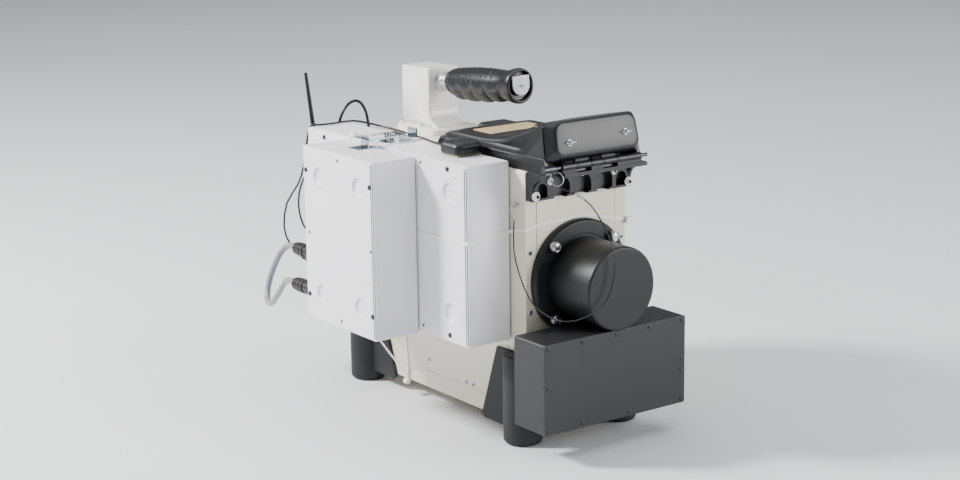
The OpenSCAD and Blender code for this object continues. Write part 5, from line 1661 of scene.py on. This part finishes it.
@dataclass
class Handle:
    """The white casting with its collar and rubber grip."""

    middle_x: float = 12.0
    post_half: float = 26.0
    post_y: Pair = (319.0, 389.0)
    top: float = 464.0
    base_half: float = 40.0
    base_top: float = 380.0
    grip_l: float = 160.0
    collar_l: float = 24.0
    rise: float = 5.0
    axis_z: float = 444.0
    # The grip's radius at shares of its length, and what its belly adds below
    skin: Sequence[Pair] = ((0.0, 15.0), (0.02, 17.0), (0.07, 18.8), (0.2, 20.4), (0.42, 21.4), (0.62, 20.6),
                            (0.8, 18.8), (0.87, 19.4), (0.94, 21.9), (0.985, 22.4), (1.0, 21.8))
    belly: Sequence[Pair] = ((0.0, 0.0), (0.07, 2.2), (0.18, 4.6), (0.5, 5.2), (0.8, 5.4), (0.88, 4.4),
                             (0.95, 4.6), (1.0, 4.2))
    bumps: int = 4
    bump_start: float = 9.0
    bump_pitch: float = 31.0
    dot_start: float = 12.0
    # Degrees above the side, count, pitch and radius of each row of dots
    dot_rows: Sequence[tuple[float, int, float, float]] = (
        (56, 11, 10.8, 1.6), (31, 10, 11.5, 2.5), (8, 9, 12.4, 2.1))

    def build(self) -> None:
        """Makes the casting, the collar, the grip and its end plate."""
        self._casting()
        self._collar()
        self._grip()
        self._plate()

    def _grip_frame(self) -> Matrix:
        """Returns the matrix whose +Z runs along the grip to the front and whose +Y is up."""
        lift = Matrix.Translation((self.middle_x, self.post_y[0], self.axis_z))
        return lift @ Matrix.Rotation(math.radians(-self.rise), 4, "X") @ Matrix.Rotation(
            math.radians(90), 4, "X")

    def _casting(self) -> None:
        """Makes the casting: a slab base and a post, joined by a long concave sweep."""
        shape = bmesh.new()
        y0, y1 = self.post_y
        sweep = 24.0
        arc = [(y0 - sweep + sweep * math.sin(a), self.base_top + sweep - sweep * math.cos(a))
               for a in (math.radians(9 * i) for i in range(11))]
        outline = [(y1, 371.5), (y0 - sweep, 371.5), *arc, (y0 - 0.2, self.top - 2), (y0 + 1.5, self.top),
                   (y1 - 1.5, self.top - 1.5), (y1, self.top - 4)]
        x0, x1 = self.middle_x - self.post_half, self.middle_x + self.post_half
        post = bmesh.new()
        add_prism(post, outline, x0, x1)
        bmesh.ops.recalc_face_normals(post, faces=post.faces)
        rim = [e for e in post.edges if abs(e.verts[0].co.x - e.verts[1].co.x) < 1e-3]
        bmesh.ops.bevel(post, geom=rim, offset=4.6, segments=5, profile=0.5, affect="EDGES", clamp_overlap=True)
        column = as_object("post", post)
        shape.from_mesh(column.data)
        bpy.data.objects.remove(column)
        self._base(shape)
        scoop = bmesh.new()
        bmesh.ops.create_uvsphere(scoop, u_segments=48, v_segments=24, radius=1.0, matrix=Matrix.Translation(
            (self.middle_x + 2, 299, 383.2)) @ Matrix.Diagonal((27.0, 10.5, 8.0, 1.0)))
        make_piece("handle_body", self._joined(shape, scoop), CAST_WHITE, "case", ["handle_casting"], edge=0.7,
                   crease=38)

    def _joined(self, shape: bmesh.types.BMesh, scoop: bmesh.types.BMesh) -> bmesh.types.BMesh:
        """Joins the casting's overlapping parts and cuts the scoop out of them.

        Args:
            shape: the parts, in millimetres; used up.
            scoop: what is cut out, in millimetres; used up.

        Returns:
            The joined shape, in millimetres.
        """
        bmesh.ops.recalc_face_normals(shape, faces=shape.faces)
        shape.transform(TO_FRAME)
        stock = as_object("casting", shape)
        carve(stock, scoop, overlapping=True)
        joined = bmesh.new()
        joined.from_mesh(stock.data)
        joined.transform(TO_FRAME.inverted())
        bpy.data.objects.remove(stock)
        return joined

    def _base(self, shape: bmesh.types.BMesh) -> None:
        """Adds the base slab: rounded in plan and soft at its rim.

        Args:
            shape: the mesh it joins.
        """
        y0, y1 = 288.0, self.post_y[1]
        middle = Vector((self.middle_x, (y0 + y1) / 2))
        steps = 9
        outline = rounded_outline(self.middle_x - self.base_half, self.middle_x + self.base_half, y0, y1, 13,
                                  steps)
        rims = [(0.0, 371.05), (0.0, 376.5), (0.7, 378.6), (2.2, 379.8), (3.8, 380.0)]
        loops = []
        for inset, z in rims:
            loops.append([self._pulled_in(p, middle, inset, z) for p in outline])
        for share in (0.82, 0.66, 0.5, 0.35, 0.2, 0.08):
            loops.append([self._on_top(p, middle, share) for p in outline])
        add_loft(shape, loops)

    def _pulled_in(self, point: Pair, middle: Vector, inset: float, z: float) -> Vector:
        """Returns an outline point moved inwards by the inset.

        Args:
            point: the outline point.
            middle: the outline's middle.
            inset: how far it moves.
            z: its height.

        Returns:
            The moved point.
        """
        flat = Vector(point) - middle
        flat.x -= math.copysign(min(inset, abs(flat.x)), flat.x)
        flat.y -= math.copysign(min(inset, abs(flat.y)), flat.y)
        return Vector((middle.x + flat.x, middle.y + flat.y, z))

    def _on_top(self, point: Pair, middle: Vector, share: float) -> Vector:
        """Returns a point of the slab's top."""
        flat = (Vector(point) - middle) * share
        return Vector((middle.x + flat.x, middle.y + flat.y, self.base_top))

    def _collar(self) -> None:
        """Makes the stepped metal collar between the post and the grip."""
        shape = bmesh.new()
        end = self.collar_l
        add_lathe(shape, [(0, -6), (15.6, -6), (15.6, 3.2), (15.0, 4.0), (14.4, 4.6), (13.9, 9.0), (13.3, 14.0),
                          (13.0, end - 2), (12.6, end - 1), (8, end - 1), (8, end + self.grip_l - 14),
                          (0, end + self.grip_l - 14)], self._grip_frame(), 96)
        make_piece("grip_collar", shape, SATIN_ALUMINIUM, "case", ["handle_collar"], crease=30)

    def _grip_radius(self, along: float, angle: float) -> float:
        """Returns the grip's radius at a distance from its rear end and an angle round it.

        Args:
            along: distance from the rear end.
            angle: angle from the right, in radians.

        Returns:
            The radius.
        """
        share = along / self.grip_l
        down = max(-math.sin(angle), 0.0)
        radius = blend_height(self.skin, share) + down ** 1.3 * blend_height(self.belly, share)
        start, pitch = self.bump_start, self.bump_pitch
        if start < along < start + self.bumps * pitch:
            wave = math.sin(math.pi * (along - start) / pitch)
            radius += down ** 0.7 * (4.4 * abs(wave) ** 0.5 - 3.4)
        return radius

    def _grip(self) -> None:
        """Makes the rubber grip with finger bumps, a hooded front rim and rows of dots."""
        shape = bmesh.new()
        frame_turn = self._grip_frame()
        sides, stations = 72, 110
        loops = []
        for k in range(stations + 1):
            along = self.grip_l * k / stations
            loops.append([frame_turn @ self._on_grip(along, math.tau * i / sides) for i in range(sides)])
        for inset, deep in ((1.6, 0.6), (3.2, 0.4), (4.2, -1.0), (4.6, -5.0)):
            loops.append([frame_turn @ self._rim_point(math.tau * i / sides, inset, deep)
                          for i in range(sides)])
        add_loft(shape, loops)
        make_piece("grip_sleeve", shape, GRIP_RUBBER, "case", ["grip"], crease=60)
        self._dots(frame_turn)

    def _on_grip(self, along: float, angle: float) -> Vector:
        """Returns a point of the grip's skin in the grip's own frame."""
        radius = self._grip_radius(along, angle)
        return Vector((radius * math.cos(angle), radius * math.sin(angle), self.collar_l + along))

    def _rim_point(self, angle: float, inset: float, deep: float) -> Vector:
        """Finds a point of the rim, which stands forward at the top like a hood.

        Args:
            angle: angle from the right, in radians.
            inset: how far in from the skin.
            deep: how far forward of the grip's end.

        Returns:
            The point, in the grip's own frame.
        """
        radius = self._grip_radius(self.grip_l, angle) - inset
        hood = 5.0 * max(math.sin(angle), 0.0) ** 2 if deep > 0 else 0.0
        end = self.collar_l + self.grip_l
        return Vector((radius * math.cos(angle), radius * math.sin(angle), end + deep + hood))

    def _dots(self, frame_turn: Matrix) -> None:
        """Sets three rows of dimpled dots along both sides of the grip.

        Args:
            frame_turn: the grip's own frame.
        """
        spots = []
        for degrees, count, pitch, size in self.dot_rows:
            for side in (0, 1):
                angle = math.radians(180 - degrees if side else degrees)
                for i in range(count):
                    along = self.dot_start + pitch * i
                    radius = self._grip_radius(along, angle)
                    out = Vector((math.cos(angle), math.sin(angle), 0))
                    place = frame_turn @ (out * (radius - 0.05) + Vector((0, 0, self.collar_l + along)))
                    spots.append((tuple(place), tuple(frame_turn.to_3x3() @ out), size))
        # The dots' lighter grey is a painted highlight.
        fittings("grip_dots", dot(), spots, GLOSSY_RUBBER_PAINTED_HIGHLIGHT, "case")

    def _plate(self) -> None:
        """Makes the pitted steel plate in the end of the grip, flat on top and round below."""
        shape = bmesh.new()
        turn = self._grip_frame()
        z = self.collar_l + self.grip_l
        outline = [(-13.5, 12.5), (-14.6, 11.0)]
        outline += [(15 * math.cos(a), 15 * math.sin(a) * 1.05) for a in (math.radians(180 + 7.5 * i)
                                                                        for i in range(25))]
        outline += [(14.6, 11.0), (13.5, 12.5)]
        loops = [[turn @ Vector((x * s, y * s, z + d)) for x, y in outline]
                 for s, d in ((1.0, -2.0), (1.0, 1.2), (0.97, 1.8), (0.93, 2.0))]
        add_loft(shape, loops)
        hole = turn @ at((0, -2.0, z + 1.9))
        add_lathe(shape, [(1.2, 0), (2.3, 0), (2.3, 0.5), (1.9, 0.7), (1.2, 0.2)], hole, 24, ring=True)
        make_piece("grip_end_plate", shape, PITTED_STEEL, "case", ["grip_plate"], crease=35)


# ---------------------------------------------------------------- antennas


@dataclass
class Antennas:
    """The square positioning antenna and the tilting whip."""

    puck: Point = (-129.5, 88.0, 384.5)
    side: float = 44.0
    height: float = 17.0

    def build(self) -> None:
        """Makes the puck and the whip."""
        shape = bmesh.new()
        x, y, z = self.puck
        steps = 8
        loops = []
        for inset, rise in ((1.2, 0.1), (0.0, 1.2), (0.0, 9.0), (0.6, 11.2), (2.2, 13.6), (4.6, 15.6),
                            (7.6, 16.7), (11.0, 17.0)):
            outline = rounded_outline(x + inset, x + self.side - inset, y + inset, y + self.side - inset,
                                      max(9.0 - inset * 0.35, 4.0), steps)
            loops.append([Vector((px, py, z + rise)) for px, py in outline])
        add_loft(shape, loops)
        make_piece("puck_shell", shape, BLACK_ABS, "case", ["puck"], crease=50)
        refine("antenna_base", "whip_knuckle", BLACK_ABS, body="whip_base", edge=0.3)
        refine("antenna_rod", "whip_rod", BLACK_ABS, body="whip", edge=0.3)


# Inner nodes that keep their CAD shape
INNER: dict[str, Finish] = {
    "crystal": MILL_ALUMINIUM, "cryostat": MILL_ALUMINIUM, "cooler": MILL_ALUMINIUM,
    "battery": BATTERY_SLEEVE, "circuit_boards": GREEN_BOARD, "moderator": WHITE_POLY,
    "neutron_tubes": MILL_ALUMINIUM,
}


def main() -> None:
    """Builds the studio and the cables first, then each sub-assembly."""
    logging.basicConfig(level=logging.INFO, format="%(name)s: %(message)s")
    Studio().build()
    Cables().build()
    InstrumentCase().build()
    Detector().build()
    module = NeutronModule()
    module.build()
    SideBoxes().build(module)
    Hood().build()
    Handle().build()
    Antennas().build()
    for node, finish in INNER.items():
        dress(node, finish)


if __name__ == "__main__":
    main()
